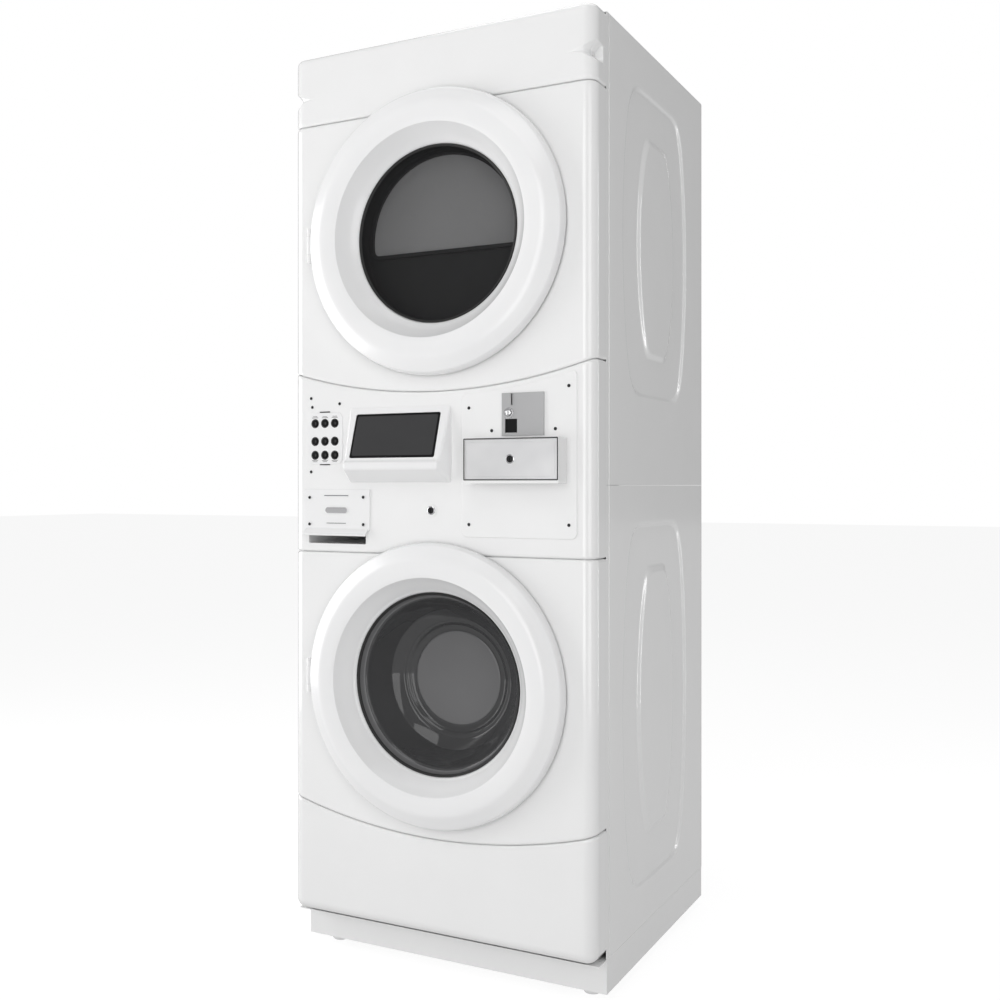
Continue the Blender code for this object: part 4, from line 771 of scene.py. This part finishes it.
@dataclass
class RoundDoor:
    """What both doors share: the white ring, the black window gasket and the hinge arm."""

    axis_z: float
    part: str = "door"
    funnel: float = 0.214
    window: float = 0.180
    radius: float = 0.288
    wall: float = 0.0025
    knuckle: float = 0.019

    def turn(self, name: str, profile: Sequence[Point], finish: Finish, slot: str, replaces: Sequence[str] = (),
             segments: int = 128, crease: float = 38.0) -> None:
        """Turn a profile about the door's middle and hang it on the door."""
        mount(lathe(name, profile, (0.0, self.axis_z), finish, segments, crease), self.part, replaces)

    def ring(self) -> None:
        """Make the ring: a rounded rim, a broad soft face and a crisp funnel down to the window."""
        r, f, w = self.radius, self.funnel, self.window
        rim = smooth_line([(r, 0.006), (r - 0.0008, 0.0140), (r - 0.0026, 0.0205), (r - 0.0050, 0.0244)], 5)
        middle = (r + f) / 2
        face = smooth_line([(r - 0.0060, 0.0253), (r - 0.0200, 0.0318), (middle, 0.0376), (f + 0.012, 0.0374),
                            (f + 0.0025, 0.0360)], 6)
        neck = smooth_line([(f + 0.0005, 0.0355), (f - 0.008, 0.0225), (f - 0.019, 0.0080), (w + 0.006, -0.0015)], 6)
        line = rim + face + neck + [(w + 0.0015, -0.006), (w, -0.009)]
        self.turn(f"{self.part}_ring", thicken(line, self.wall), ABS_WHITE, "white_plastic", [f"{self.part}_frame"],
                  160, 24.0)
        arm = block(f"{self.part}_arm", (-self.radius - 0.0080, FRONT - 0.0115, self.axis_z - self.knuckle),
                    (-self.radius + 0.0015, FRONT - 0.0085, self.axis_z + self.knuckle), ABS_WHITE, 0.0006)
        knuckle = self.upright(f"{self.part}_knuckle", 0.0050, 0.0034, self.knuckle)
        mount(merge(f"{self.part}_hinge_arm", [arm, knuckle]), self.part)

    def upright(self, name: str, outer: float, bore: float, half: float) -> bpy.types.Object:
        """Make a hinge tube on the door's upright axis."""
        x, y = -self.radius - 0.008, FRONT - 0.010
        shape = bmesh.new()
        rows = [[shape.verts.new((x + radius * c, y + radius * s, self.axis_z + z)) for c, s in turns(32)]
                for radius, z in ((outer, -half), (outer, half), (bore, half), (bore, -half))]
        quads(shape, rows + rows[:1])
        bmesh.ops.recalc_face_normals(shape, faces=shape.faces)
        return new_object(name, shape, ABS_WHITE, 40.0)

    def gasket(self) -> None:
        """Make the black gasket that edges the window."""
        w = self.window
        line = [(w - 0.0002, -0.0050), (w - 0.0030, -0.0062), (w - 0.0050, -0.0084), (w - 0.0052, -0.0092),
                (w - 0.0002, -0.0092)]
        self.turn(f"{self.part}_gasket", line, RUBBER_BLACK, "rubber")


def half_moon(radius: float, sill: float, corner: float, axis_z: float, steps: int = 48) -> list[Point]:
    """Return a half-moon window: an arc over a level sill, with rounded lower corners."""
    inner = radius - corner
    cz = sill + corner
    cx = math.sqrt(inner * inner - cz * cz)
    start = math.atan2(cz, cx)
    outline = []
    for i in range(steps + 1):
        turn = start + (math.pi - 2 * start) * i / steps
        outline.append((radius * math.cos(turn), axis_z + radius * math.sin(turn)))
    for side, first, last in ((-1, math.pi - start, 1.5 * math.pi), (1, 1.5 * math.pi, 2 * math.pi + start)):
        for i in range(1, 8):
            turn = first + (last - first) * i / 8
            outline.append((side * cx + corner * math.cos(turn), axis_z + cz + corner * math.sin(turn)))
    return outline


@dataclass
class DryerDoor(RoundDoor):
    """The dryer's door: flat smoked glass over a dark liner with a half-moon window."""

    part: str = "dryer_door"
    funnel: float = 0.214
    window: float = 0.180
    depth: float = 0.050
    moon: float = 0.170
    sill: float = -0.030
    moon_corner: float = 0.018

    def moon_line(self, grow: float, drop: float) -> list[Point]:
        """Return the half-moon, grown all round and with its sill dropped."""
        return half_moon(self.moon + grow, self.sill - drop, self.moon_corner + grow, self.axis_z)

    def build(self) -> None:
        """Make the door, its smoked pane and its dark liner."""
        self.ring()
        self.gasket()
        glass = [(0.0, -0.0098), (0.190, -0.0098), (0.192, -0.0104), (0.192, -0.0122), (0.190, -0.0128),
                 (0.0, -0.0128)]
        self.turn("dryer_door_pane", glass, SMOKED_GLASS, "door_glass", ["dryer_door_glass"])
        neck, deep, wall = self.window + 0.020, self.window + 0.006, self.wall
        rim = self.radius - wall - 0.0025
        profile = [
            (rim, 0.0090), (rim, 0.0070), (neck + wall + 0.003, 0.0070), (neck + wall, 0.0040),
            (deep + wall, -self.depth + 0.004), (deep - 0.002, -self.depth), (0.0, -self.depth),
            (0.0, -self.depth + wall), (deep - 0.004, -self.depth + wall), (deep, -self.depth + 0.007),
            (neck, 0.0090),
        ]
        liner = lathe("dryer_door_lining", profile, (0.0, self.axis_z), LINER_DARK, 128)
        punch(liner, self.moon_line(0.0, 0.0), -self.depth - 0.01, -self.depth + 0.01)
        mount(liner, self.part, ["dryer_door_liner"])
        face = -self.depth + wall
        bead = slab("dryer_moon_bead", self.moon_line(0.004, 0.005), face + HAIR, face + 0.006, LINER_DARK, 0.002)
        punch(bead, self.moon_line(-0.003, -0.003), face - 0.02, face + 0.02)
        mount(bead, self.part)
        pane = slab("dryer_moon_pane", self.moon_line(-0.001, -0.001), -self.depth + 0.0002, face - 0.0002,
                    INNER_GLASS, 0.0)
        mount(pane, self.part)


@dataclass
class WasherDoor(RoundDoor):
    """The washer's door: a pressed glass bowl held by a grey ring."""

    part: str = "washer_door"
    funnel: float = 0.218
    window: float = 0.186
    depth: float = 0.112
    bowl_floor: float = 0.125

    def build(self) -> None:
        """Make the door, its bowl and the retaining ring."""
        self.ring()
        self.gasket()
        b, floor, deep = self.bowl_floor, 0.004, self.depth
        top = -0.0098
        side = self.window - 0.004
        line = [(side, top - 0.001), (side - 0.003, top - 0.010), (side - 0.010, top - 0.016),
                (side - 0.015, top - 0.030), (side - 0.024, top - 0.052), (b + 0.020, -deep + 0.027)]
        upper = smooth_line(line, 5)
        crest = smooth_line([(b + 0.008, -deep + 0.0185), (b + 0.000, -deep + 0.0135), (b - 0.006, -deep + 0.0130),
                             (b - 0.010, -deep + 0.0105), (b - 0.015, -deep + 0.0060), (b - 0.024, -deep + floor)], 6)
        front = [(side + 0.010, top), (side + 0.001, top)] + upper + crest + [(0.0, -deep + floor)]
        back = [(0.0, -deep), (b - 0.020, -deep), (b + 0.004, -deep + 0.006), (b + 0.018, -deep + 0.018),
                (side - 0.016, top - 0.055), (side - 0.008, top - 0.034), (side - 0.002, top - 0.018),
                (side + 0.002, top - 0.006), (side + 0.010, top - 0.004)]
        self.turn("washer_bowl", front + back, BOWL_GLASS, "door_glass", ["washer_door_bowl"], crease=60.0)
        level = -deep + floor + HAIR
        disc = [(0.0, level), (b - 0.027, level), (b - 0.028, level + 0.0008), (b - 0.030, level + 0.0010),
                (0.0, level + 0.0010)]
        self.turn("washer_bowl_floor", disc, BOWL_FLOOR, "door_glass")
        band = [(side - 0.0006, top - 0.001), (side - 0.0036, top - 0.010), (side - 0.0080, top - 0.0146)]
        self.turn("washer_bowl_rim", thicken(smooth_line(band, 5), -0.0003), BOWL_RIM, "door_glass")
        rim = self.radius - self.wall - 0.0025
        neck, lip, low = self.window + 0.020, self.window + 0.014, -0.0142
        profile = [(rim, 0.0092), (rim, 0.0070), (neck + 0.0025, 0.0070), (lip + 0.0025, low - 0.002),
                   (self.window + 0.005, low - 0.0022), (self.window + 0.005, low), (lip, low + 0.001), (neck, 0.0092)]
        self.turn("washer_retaining_ring", profile, ABS_GREY, "grey_plastic", ["washer_door_liner"])


# Console


@dataclass
class Controls:
    """The key plate, buttons, display, coin section, locks and detergent drawer."""

    console: bpy.types.Object
    seam: Height
    coin_lap: tuple[float, float, float] = (0.0055, 0.010, 0.0050)
    plate_arch: float = 0.008
    hood_draft: float = 0.010
    door_face: float = 0.0018
    drawer_face: float = 0.0033
    slot_x: float = 0.1745
    slot_ends: Point = (1.1560, 1.1812)
    # Sides and heights of the black plates of painted shade behind the coin slot and the return chute.
    painted_shade_sides: Point = (0.158, 0.188)
    painted_shade_spans: tuple[Point, Point] = ((1.102, 1.132), (1.1545, 1.1815))
    key_screws: tuple[Point, ...] = ((-0.297, 1.187), (-0.294, 1.168), (-0.225, 1.1735), (-0.297, 1.0305))
    coin_screws: tuple[Point, ...] = ((0.080, 1.155), (0.292, 1.191), (0.080, 0.924), (0.292, 0.926),
                                      (0.130, 1.109), (0.2645, 1.110))
    drawer_screws: tuple[Point, ...] = ((-0.299, 0.976), (-0.165, 0.977), (-0.299, 0.9195), (-0.165, 0.920))

    def cut_console(self) -> None:
        """Cut the console sheet for what passes through it."""
        lock, radius = round_face("service_lock")
        drill(self.console, lock, radius + 0.0005)
        for way in (opening("detergent_drawer_housing", 0.002, 0.002, 0.002),
                    opening("coin_box_housing", *self.coin_lap), opening("key_plate", 0.008, 0.016, 0.016)):
            punch(self.console, way)
        mount(self.console, ROOT, ["console_panel"])

    def keys(self) -> None:
        """Make the key plate, its printed marks and the nine black buttons."""
        low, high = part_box("key_plate")
        middle = (low.x + high.x) / 2
        outline = rounded(low.x, high.x, low.z, high.z, 0.010, 8)
        half = (high.x - low.x) / 2
        bowed = []
        for x, z in outline:
            sink = self.plate_arch * ((x - middle) / half) ** 2
            bowed.append((x, z - sink if z > (low.z + high.z) / 2 else z + sink))
        plate = slab("key_plate_face", bowed, HAIR, 0.0011, ABS_WHITE, 0.0004)
        names = sorted(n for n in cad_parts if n.startswith("button_"))
        marks = []
        for name in names:
            low_corner, high_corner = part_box(name)
            (x, z), radius = round_face(name)
            drill(plate, (x, z), radius + 0.0004)
            top, back = FRONT - low_corner.y, FRONT - high_corner.y
            cap = [(0.0, top - 0.0012), (radius * 0.20, top - 0.0011), (radius * 0.52, top - 0.0003),
                   (radius * 0.72, top), (radius * 0.86, top - 0.0003), (radius * 0.97, top - 0.0012),
                   (radius, top - 0.0024), (radius, back), (0.0, back)]
            mount(lathe(f"{name}_cap", cap, (x, z), ABS_BLACK, 40), name + "_body", [name])
            collar = [(radius + 0.0004, 0.0010), (radius + 0.0022, 0.0010), (radius + 0.0018, 0.0016),
                      (radius + 0.0006, 0.0017)]
            marks.append(lathe("collar", collar, (x, z), PRINT_BLACK, 40))
            if not name.startswith("button_cycle"):
                for row, width in ((0, 0.0075), (1, 0.0055)):
                    level = z + radius + 0.0042 + row * 0.0026
                    if name.startswith("button_washer"):
                        level = z - radius - 0.0042 - row * 0.0026
                    marks.append(front_block("mark", x - width, x + width, level, level + 0.0009, 0.0010, 0.00125,
                                             PRINT_BLACK, 0.0))
        for level in (high.z - 0.0042, low.z + 0.0026):
            marks.append(front_block("mark", middle - 0.013, middle + 0.013, level, level + 0.0022, 0.0010, 0.00125,
                                     PRINT_BLACK, 0.0))
        mount(plate, ROOT, ["key_plate"])
        mount(merge("key_plate_print", marks), ROOT)

    def display(self) -> None:
        """Make the sloping display housing with its soft edges, and the window in it."""
        low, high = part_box("display_housing")
        proud = FRONT - low.y
        section = [(HAIR, high.z), (proud - 0.008, high.z - 0.111), (proud, high.z - 0.114),
                   (proud, high.z - 0.129), (HAIR, low.z)]
        shape = bmesh.new()
        ends = [[shape.verts.new((x + lean * self.hood_draft * p / proud, FRONT - p, z)) for p, z in section]
                for x, lean in ((low.x, 1), (high.x, -1))]
        quads(shape, ends)
        for end in ends:
            shape.faces.new(end)
        bmesh.ops.recalc_face_normals(shape, faces=shape.faces)
        edges = [e for e in shape.edges if not all(abs(v.co.y - FRONT) < 0.001 for v in e.verts)]
        bmesh.ops.bevel(shape, geom=edges, offset=0.0045, segments=4, profile=0.5, affect="EDGES")
        housing = new_object("display_hood", shape, ABS_WHITE, 35.0)
        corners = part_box("display_lens")
        span_z, span_y = corners[1].z - corners[0].z, corners[1].y - corners[0].y
        lean = math.atan2(span_y - 0.0017, span_z - 0.0006)
        centre = (corners[0] + corners[1]) / 2
        length = math.hypot(span_y, span_z) - 0.0010
        half_x = (corners[1].x - corners[0].x) / 2
        for name, grow, thick, lift, finish in (
            ("display_pocket", 0.0010, 0.010, 0.004, ABS_WHITE),
            ("display_frame", 0.0003, 0.0022, 0.0, ABS_BLACK),
            ("display_window", -0.0042, 0.0012, 0.0010, LENS_GLASS),
        ):
            outline = rounded(-half_x - grow, half_x + grow, -length / 2 - grow, length / 2 + grow, 0.004)
            piece = slab(name, outline, -thick / 2, thick / 2, finish, 0.0 if name == "display_pocket" else 0.0005)
            for vert in piece.data.vertices:
                vert.co.y -= FRONT
            outward = Vector((0.0, -math.cos(lean), math.sin(lean)))
            piece.rotation_euler = (-lean, 0.0, 0.0)
            piece.location = centre + outward * lift
            if name == "display_pocket":
                carve(housing, piece)
            else:
                mount(piece, ROOT, ["display_lens"] if name == "display_frame" else [])
        mount(housing, ROOT, ["display_housing"])

    def coin_section(self) -> None:
        """Make the coin door, the acceptor with its slot and cup, and the coin box."""
        low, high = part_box("coin_door")
        radius, margin = 0.012, 0.010
        outline = rounded(low.x, high.x, low.z, high.z, radius, 8)
        shaped = []
        for x, z in outline:
            top = self.seam(x) - margin
            shaped.append((x, z if z < (low.z + high.z) / 2 else z - (self.seam(high.x) - margin - top)))
        top_line = [i for i, (x, z) in enumerate(shaped) if z > (low.z + high.z) / 2]
        first = max(i for i in top_line if shaped[i][0] > (low.x + high.x) / 2)
        extra = [(high.x - radius - (high.x - low.x - 2 * radius) * i / 16, 0.0) for i in range(1, 16)]
        shaped[first + 1:first + 1] = [(x, self.seam(x) - margin) for x, _ in extra]
        door = slab("coin_door_face", shaped, HAIR, self.door_face, ENAMEL, 0.0009)
        punch(door, opening("coin_box_housing", *self.coin_lap))
        at, r = round_face("coin_return_button")
        drill(door, at, r + 0.0005)
        mount(door, ROOT, ["coin_door"])
        dress("coin_acceptor", ZINC_PLATE, 0.0004)
        low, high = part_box("coin_return_button")
        top, back = FRONT - low.y, FRONT - high.y
        cap = [(0.0, top - 0.0010), (r * 0.55, top - 0.0008), (r * 0.78, top), (r * 0.95, top - 0.0007),
               (r, top - 0.002), (r, back), (0.0, back)]
        mount(lathe("coin_return_cap", cap, at, CHROME, 40), "coin_return_body", ["coin_return_button"])
        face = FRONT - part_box("coin_acceptor")[0].y
        bezel = [(0.0072, face + HAIR), (0.0105, face + HAIR), (0.0100, face + 0.0016), (0.0078, face + 0.0018)]
        mount(lathe("coin_return_bezel", bezel, at, CHROME, 48), ROOT)
        lips = [front_block("slot_lip", x - 0.0007, x + 0.0007, *self.slot_ends, face + HAIR, face + 0.0012, ZINC_PLATE,
                            0.0004) for x in (self.slot_x - 0.0026, self.slot_x + 0.0026)]
        mount(merge("coin_slot_lips", lips), ROOT)
        # Black plates of painted shade stand for the dark inside of the coin slot and of the return chute.
        dark = [front_block("way", *self.painted_shade_sides, *span, 0.0019, 0.0020, ABS_BLACK, 0.0) for span in self.painted_shade_spans]
        mount(merge("coin_way_shadows", dark), ROOT)
        dress("coin_box_housing", ENAMEL, 0.0010)
        dress("coin_box_drawer", BRUSHED_STEEL, 0.0005)
        low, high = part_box("coin_box_drawer")
        face = FRONT - low.y
        plate = slab("coin_drawer_plate", rounded(low.x + 0.005, high.x - 0.005, low.z + 0.005, high.z - 0.005, 0.002),
                     face + HAIR, face + 0.0009, BRUSHED_STEEL, 0.0004)
        at, r = round_face("coin_box_lock")
        drill(plate, at, r + 0.0032, 48, 0.05)
        mount(plate, "coin_drawer_body")
        self.lock_ring("coin_lock_ring", at, r + 0.0005, r + 0.0026, face + HAIR, "coin_drawer_body")
        dress("coin_box_lock", SCREW_STEEL, 0.0004)
        # A thin black ring of painted shade, drawn in the black rubber finish, fills the gap round the coin drawer.
        around = rounded(low.x - 0.0026, high.x + 0.0026, low.z - 0.0026, high.z + 0.0026, 0.002)
        gap = slab("coin_box_gap_shade", around, 0.0435 + HAIR, 0.0442, RUBBER_BLACK, 0.0)
        inside = rounded(low.x - 0.0006, high.x + 0.0006, low.z - 0.0006, high.z + 0.0006, 0.001)
        punch(gap, inside, 0.03, 0.06)
        mount(gap, ROOT)

    def lock_ring(self, name: str, at: Point, bore: float, outer: float, face: float, body: str) -> None:
        """Make the bright ring round a lock."""
        ring = [(bore, face), (outer, face), (outer, face + 0.0006), (outer - 0.0014, face + 0.0016),
                (bore + 0.0006, face + 0.0017), (bore, face + 0.0011)]
        mount(lathe(name, ring, at, CHROME, 56), body)

    def service_lock(self) -> None:
        """Dress the console's service lock and add its wide ring."""
        at, r = round_face("service_lock")
        self.lock_ring("service_lock_ring", at, r + 0.0005, r + 0.0030, HAIR, ROOT)
        collar = [(r + 0.0034, HAIR), (0.0135, HAIR), (0.0132, 0.0007), (r + 0.0038, 0.0009)]
        mount(lathe("service_lock_collar", collar, at, ENAMEL, 56), ROOT)
        dress("service_lock", SCREW_STEEL, 0.0004)

    def detergent_drawer(self) -> None:
        """Dress the detergent drawer, and add its plain badge and print."""
        dress("detergent_drawer", ABS_WHITE, 0.0007)
        dress("detergent_drawer_housing", ABS_WHITE)
        low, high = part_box("detergent_drawer")
        face = self.drawer_face
        marks = []
        middle = (low.x + high.x) / 2
        for z, half, tall in ((0.9795, 0.030, 0.0016), (0.9215, 0.024, 0.0012)):
            marks.append(front_block("mark", middle - half, middle + half, z, z + tall, face + 0.0001, face + 0.0003,
                                     PRINT_GREY, 0.0))
        mount(merge("drawer_print", marks), "detergent_drawer_body")
        badge = slab("drawer_badge", rounded(middle - 0.027, middle + 0.027, 0.9435, 0.9555, 0.0059, 8),
                     face + 0.0001, face + 0.0012, CHROME, 0.0005)
        mount(badge, "detergent_drawer_body")
        heads = [self.screw_head(x, z, face + 0.0001) for x, z in self.drawer_screws]
        mount(merge("drawer_screws", heads), "detergent_drawer_body")

    def screw_head(self, x: float, z: float, face: float) -> bpy.types.Object:
        """Make one pan-head security screw with a deep socket."""
        base = face + 0.0002
        profile = [(0.0, base + 0.0002), (0.0011, base + 0.0003), (0.0012, base + 0.0012), (0.0020, base + 0.0013),
                   (0.0028, base + 0.0009), (0.0033, base + 0.0001), (0.0033, base), (0.0, base)]
        return lathe("screw", profile, (x, z), SCREW_STEEL, 20)

    def build(self) -> None:
        """Make every control."""
        self.cut_console()
        self.keys()
        self.display()
        self.coin_section()
        self.service_lock()
        self.detergent_drawer()
        heads = [self.screw_head(x, z, proud) for points, proud in ((self.key_screws, 0.0),
                                                                    (self.coin_screws, self.door_face))
                 for x, z in points]
        mount(merge("console_screws", heads), ROOT)


# Insides and back


@dataclass
class Insides:
    """What shows through the windows, with a door open, or from behind."""

    cover_half: float = 0.21
    washer_cover: Point = (0.34, 0.88)
    dryer_cover: Point = (1.24, 1.78)
    louvres: int = 6
    inlets_x: Point = (-0.25, -0.19)
    inlets_z: float = 0.945

    def build(self) -> None:
        """Dress the working parts and add the rear fittings."""
        for finish, nodes in (
            (DRUM_STEEL, ("washer_drum", "dryer_drum")),
            (GALVANISED, ("dryer_floor", "heater_box", "blower_housing", "suspension_spring_left",
                          "suspension_spring_right")),
            (ENAMEL, ("dryer_hinge", "washer_hinge")),
            (CAST_IRON, ("washer_motor", "dryer_motor", "counterweight")),
            (RUBBER_BLACK, ("washer_belt", "dryer_belt")),
            (ABS_GREY, ("outer_tub", "drum_pulley", "dryer_fan_shaft")),
            (CHROME, ("washer_motor_pulley",)),
            (RUBBER_GREY, ("door_boot",)),
            (LINT_GAUZE, ("lint_screen",)),
        ):
            for node in nodes:
                dress(node, finish)
        for end in ("front_left", "front_right", "rear_left", "rear_right"):
            node = f"levelling_foot_{end}"
            dress(node, ABS_WHITE)
            low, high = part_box(node)
            x, y = (low.x + high.x) / 2, (low.y + high.y) / 2
            mount(self.nut(f"foot_nut_{end}", x, y, 0.0126, 0.0186), node + "_body")
        self.rear()

    def nut(self, name: str, x: float, y: float, low: float, high: float) -> bpy.types.Object:
        """Make a hexagon nut on a foot's stem."""
        bore, flat, steps = 0.0052, 0.0085, 24
        shape = bmesh.new()
        rows = []
        for six_sided, z in ((True, low), (True, high), (False, high), (False, low)):
            row = []
            for i, (c, s) in enumerate(turns(steps)):
                corner = 2 * math.pi * i / steps % (math.pi / 3) - math.pi / 6
                reach = flat / math.cos(corner) if six_sided else bore
                row.append(shape.verts.new((x + reach * c, y + reach * s, z)))
            rows.append(row)
        quads(shape, rows + rows[:1])
        bmesh.ops.recalc_face_normals(shape, faces=shape.faces)
        return new_object(name, shape, GALVANISED, 30.0)

    def rear(self) -> None:
        """Make the rear access covers, the water inlets and the power inlet."""
        depth = FRONT - REAR
        covers, heads = [], []
        half = self.cover_half
        for name, (low, high) in (("washer_rear_cover", self.washer_cover), ("dryer_rear_cover", self.dryer_cover)):
            outline = rounded(-half, half, low, high, 0.02, 8)
            cover = slab(name, outline, depth - 0.0012, depth - HAIR, ENAMEL, 0.0)
            for row in range(self.louvres):
                z = low + 0.09 + row * 0.03
                louvre = block("louvre", (-0.10, REAR + 0.0008, z), (0.10, REAR + 0.0040, z + 0.010), ENAMEL, 0.0015)
                covers.append(louvre)
            mount(cover, ROOT)
            for x in (-half + 0.014, half - 0.014):
                for z in (low + 0.014, (low + high) / 2, high - 0.014):
                    heads.append(self.rear_screw(x, z, depth))
        mount(merge("rear_louvres", covers), ROOT)
        mount(merge("rear_screws", heads), ROOT)
        stubs = []
        for x in self.inlets_x:
            ends = [(0.0, depth - HAIR), (0.016, depth - HAIR), (0.016, depth - 0.003), (0.0125, depth - 0.004),
                    (0.0125, depth - 0.016), (0.0110, depth - 0.017), (0.0100, depth - 0.017), (0.0095, depth - 0.006),
                    (0.0, depth - 0.006)]
            stubs.append(lathe("inlet", ends, (x, self.inlets_z), GALVANISED, 40))
        mount(merge("water_inlets", stubs), ROOT)
        inlet = block("power_inlet_box", (0.20, REAR + HAIR, 0.925), (0.26, REAR + 0.012, 0.965), ABS_BLACK, 0.003)
        mount(inlet, ROOT)

    def rear_screw(self, x: float, z: float, depth: float) -> bpy.types.Object:
        """Make one hexagon-washer screw on the rear."""
        ends = [(0.0, depth - 0.0013), (0.0048, depth - 0.0013), (0.0048, depth - 0.0018), (0.0030, depth - 0.0022),
                (0.0028, depth - 0.0042), (0.0, depth - 0.0045)]
        return lathe("screw", ends, (x, z), GALVANISED, 12)


# Studio


@dataclass
class Studio:
    """The floor, the light and the camera."""

    eye: tuple[float, float, float] = (1.153, -2.492, 1.001)
    heading: float = 28.93
    lens: float = 43.47
    shift: Point = (0.080, -0.0143)

    def floor(self) -> None:
        """Lay the pale floor, lit from below as a product table is, so that shadows on it stay light."""
        shape = bmesh.new()
        bmesh.ops.create_grid(shape, x_segments=2, y_segments=2, size=30.0)
        made = new_object("studio_floor", shape, FLOOR_PAPER)
        tree = FLOOR_PAPER.material().node_tree
        seen = add_node(tree, "ShaderNodeLightPath")
        matt = add_node(tree, "ShaderNodeBsdfDiffuse", {"Color": linear("#7c7c7c")})
        glow = add_node(tree, "ShaderNodeEmission", {"Color": linear("#ffffff"), "Strength": 0.88})
        lit = add_node(tree, "ShaderNodeAddShader", {}, {0: (matt, 0), 1: (glow, 0)})
        soft = add_node(tree, "ShaderNodeEmission", {"Color": linear("#ffffff"), "Strength": 0.42})
        bounce = add_node(tree, "ShaderNodeAddShader", {}, {0: (matt, 0), 1: (soft, 0)})
        mix = add_node(tree, "ShaderNodeMixShader", {}, {0: (seen, "Is Camera Ray"), 1: (bounce, 0), 2: (lit, 0)})
        tree.links.new(mix.outputs[0], tree.nodes["Material Output"].inputs["Surface"])

    def world(self) -> None:
        """Set an even white surround, dimmer as light than as backdrop."""
        made = bpy.data.worlds.new("studio")
        bpy.context.scene.world = made
        made.use_nodes = True
        tree = made.node_tree
        tree.nodes.clear()
        seen = add_node(tree, "ShaderNodeLightPath")
        light = add_node(tree, "ShaderNodeBackground", {"Color": linear("#ffffff"), "Strength": 0.27})
        back = add_node(tree, "ShaderNodeBackground", {"Color": linear("#ffffff"), "Strength": 1.0})
        mix = add_node(tree, "ShaderNodeMixShader", {}, {0: (seen, "Is Camera Ray"), 1: (light, 0), 2: (back, 0)})
        add_node(tree, "ShaderNodeOutputWorld", {}, {0: (mix, 0)})

    def lamp(self, name: str, at: Sequence[float], aim: Sequence[float], size: Point, power: float) -> None:
        """Hang one rectangular soft light, aimed at a point."""
        data = bpy.data.lights.new(name, "AREA")
        data.shape = "RECTANGLE"
        data.size, data.size_y = size
        data.energy = power
        made = bpy.data.objects.new(name, data)
        bpy.context.scene.collection.objects.link(made)
        made.location = at
        made.rotation_euler = (Vector(aim) - Vector(at)).to_track_quat("-Z", "Y").to_euler()

    def camera(self) -> None:
        """Set the camera level with the middle of the machine, looking from its front right."""
        data = bpy.data.cameras.new("camera")
        data.lens = self.lens
        data.sensor_width = 36.0
        data.shift_x, data.shift_y = self.shift
        made = bpy.data.objects.new("camera", data)
        bpy.context.scene.collection.objects.link(made)
        made.location = self.eye
        made.rotation_euler = (math.pi / 2, 0.0, math.radians(self.heading))
        bpy.context.scene.camera = made

    def build(self) -> None:
        """Make the studio."""
        bpy.context.scene.view_settings.view_transform = "Standard"
        self.floor()
        self.world()
        self.camera()
        for lamp in (
            ("front_box", (0.17, -3.85, 1.4), (0.17, -0.35, 1.2), (1.5, 2.8), 33.0),
            ("right_box", (2.52, -2.38, 1.3), (0.34, -0.35, 1.1), (1.3, 2.8), 22.5),
            ("left_key", (-3.0, -1.3, 1.2), (0.0, -0.3, 1.1), (2.2, 2.8), 62.0),
            ("overhead", (0.3, -3.0, 4.2), (0.0, 0.0, 1.0), (2.2, 1.6), 22.5),
            ("top_light", (0.0, 0.6, 4.8), (0.0, 0.3, 0.0), (3.0, 3.0), 52.0),
            ("side_strip", (2.4, 1.9, 1.1), (0.34, 0.0, 1.0), (0.25, 2.6), 11.3),
        ):
            self.lamp(*lamp)


def main() -> None:
    """Build the scene in order."""
    Studio().build()
    skin = FrontSkin()
    console = skin.build()
    SideSkin().build()
    DryerDoor(axis_height("dryer_hinge")).build()
    WasherDoor(axis_height("washer_hinge")).build()
    Controls(console, skin.arch(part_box("dryer_front_panel")[0].z - SHEET)).build()
    Insides().build()


if __name__ == "__main__":
    main()
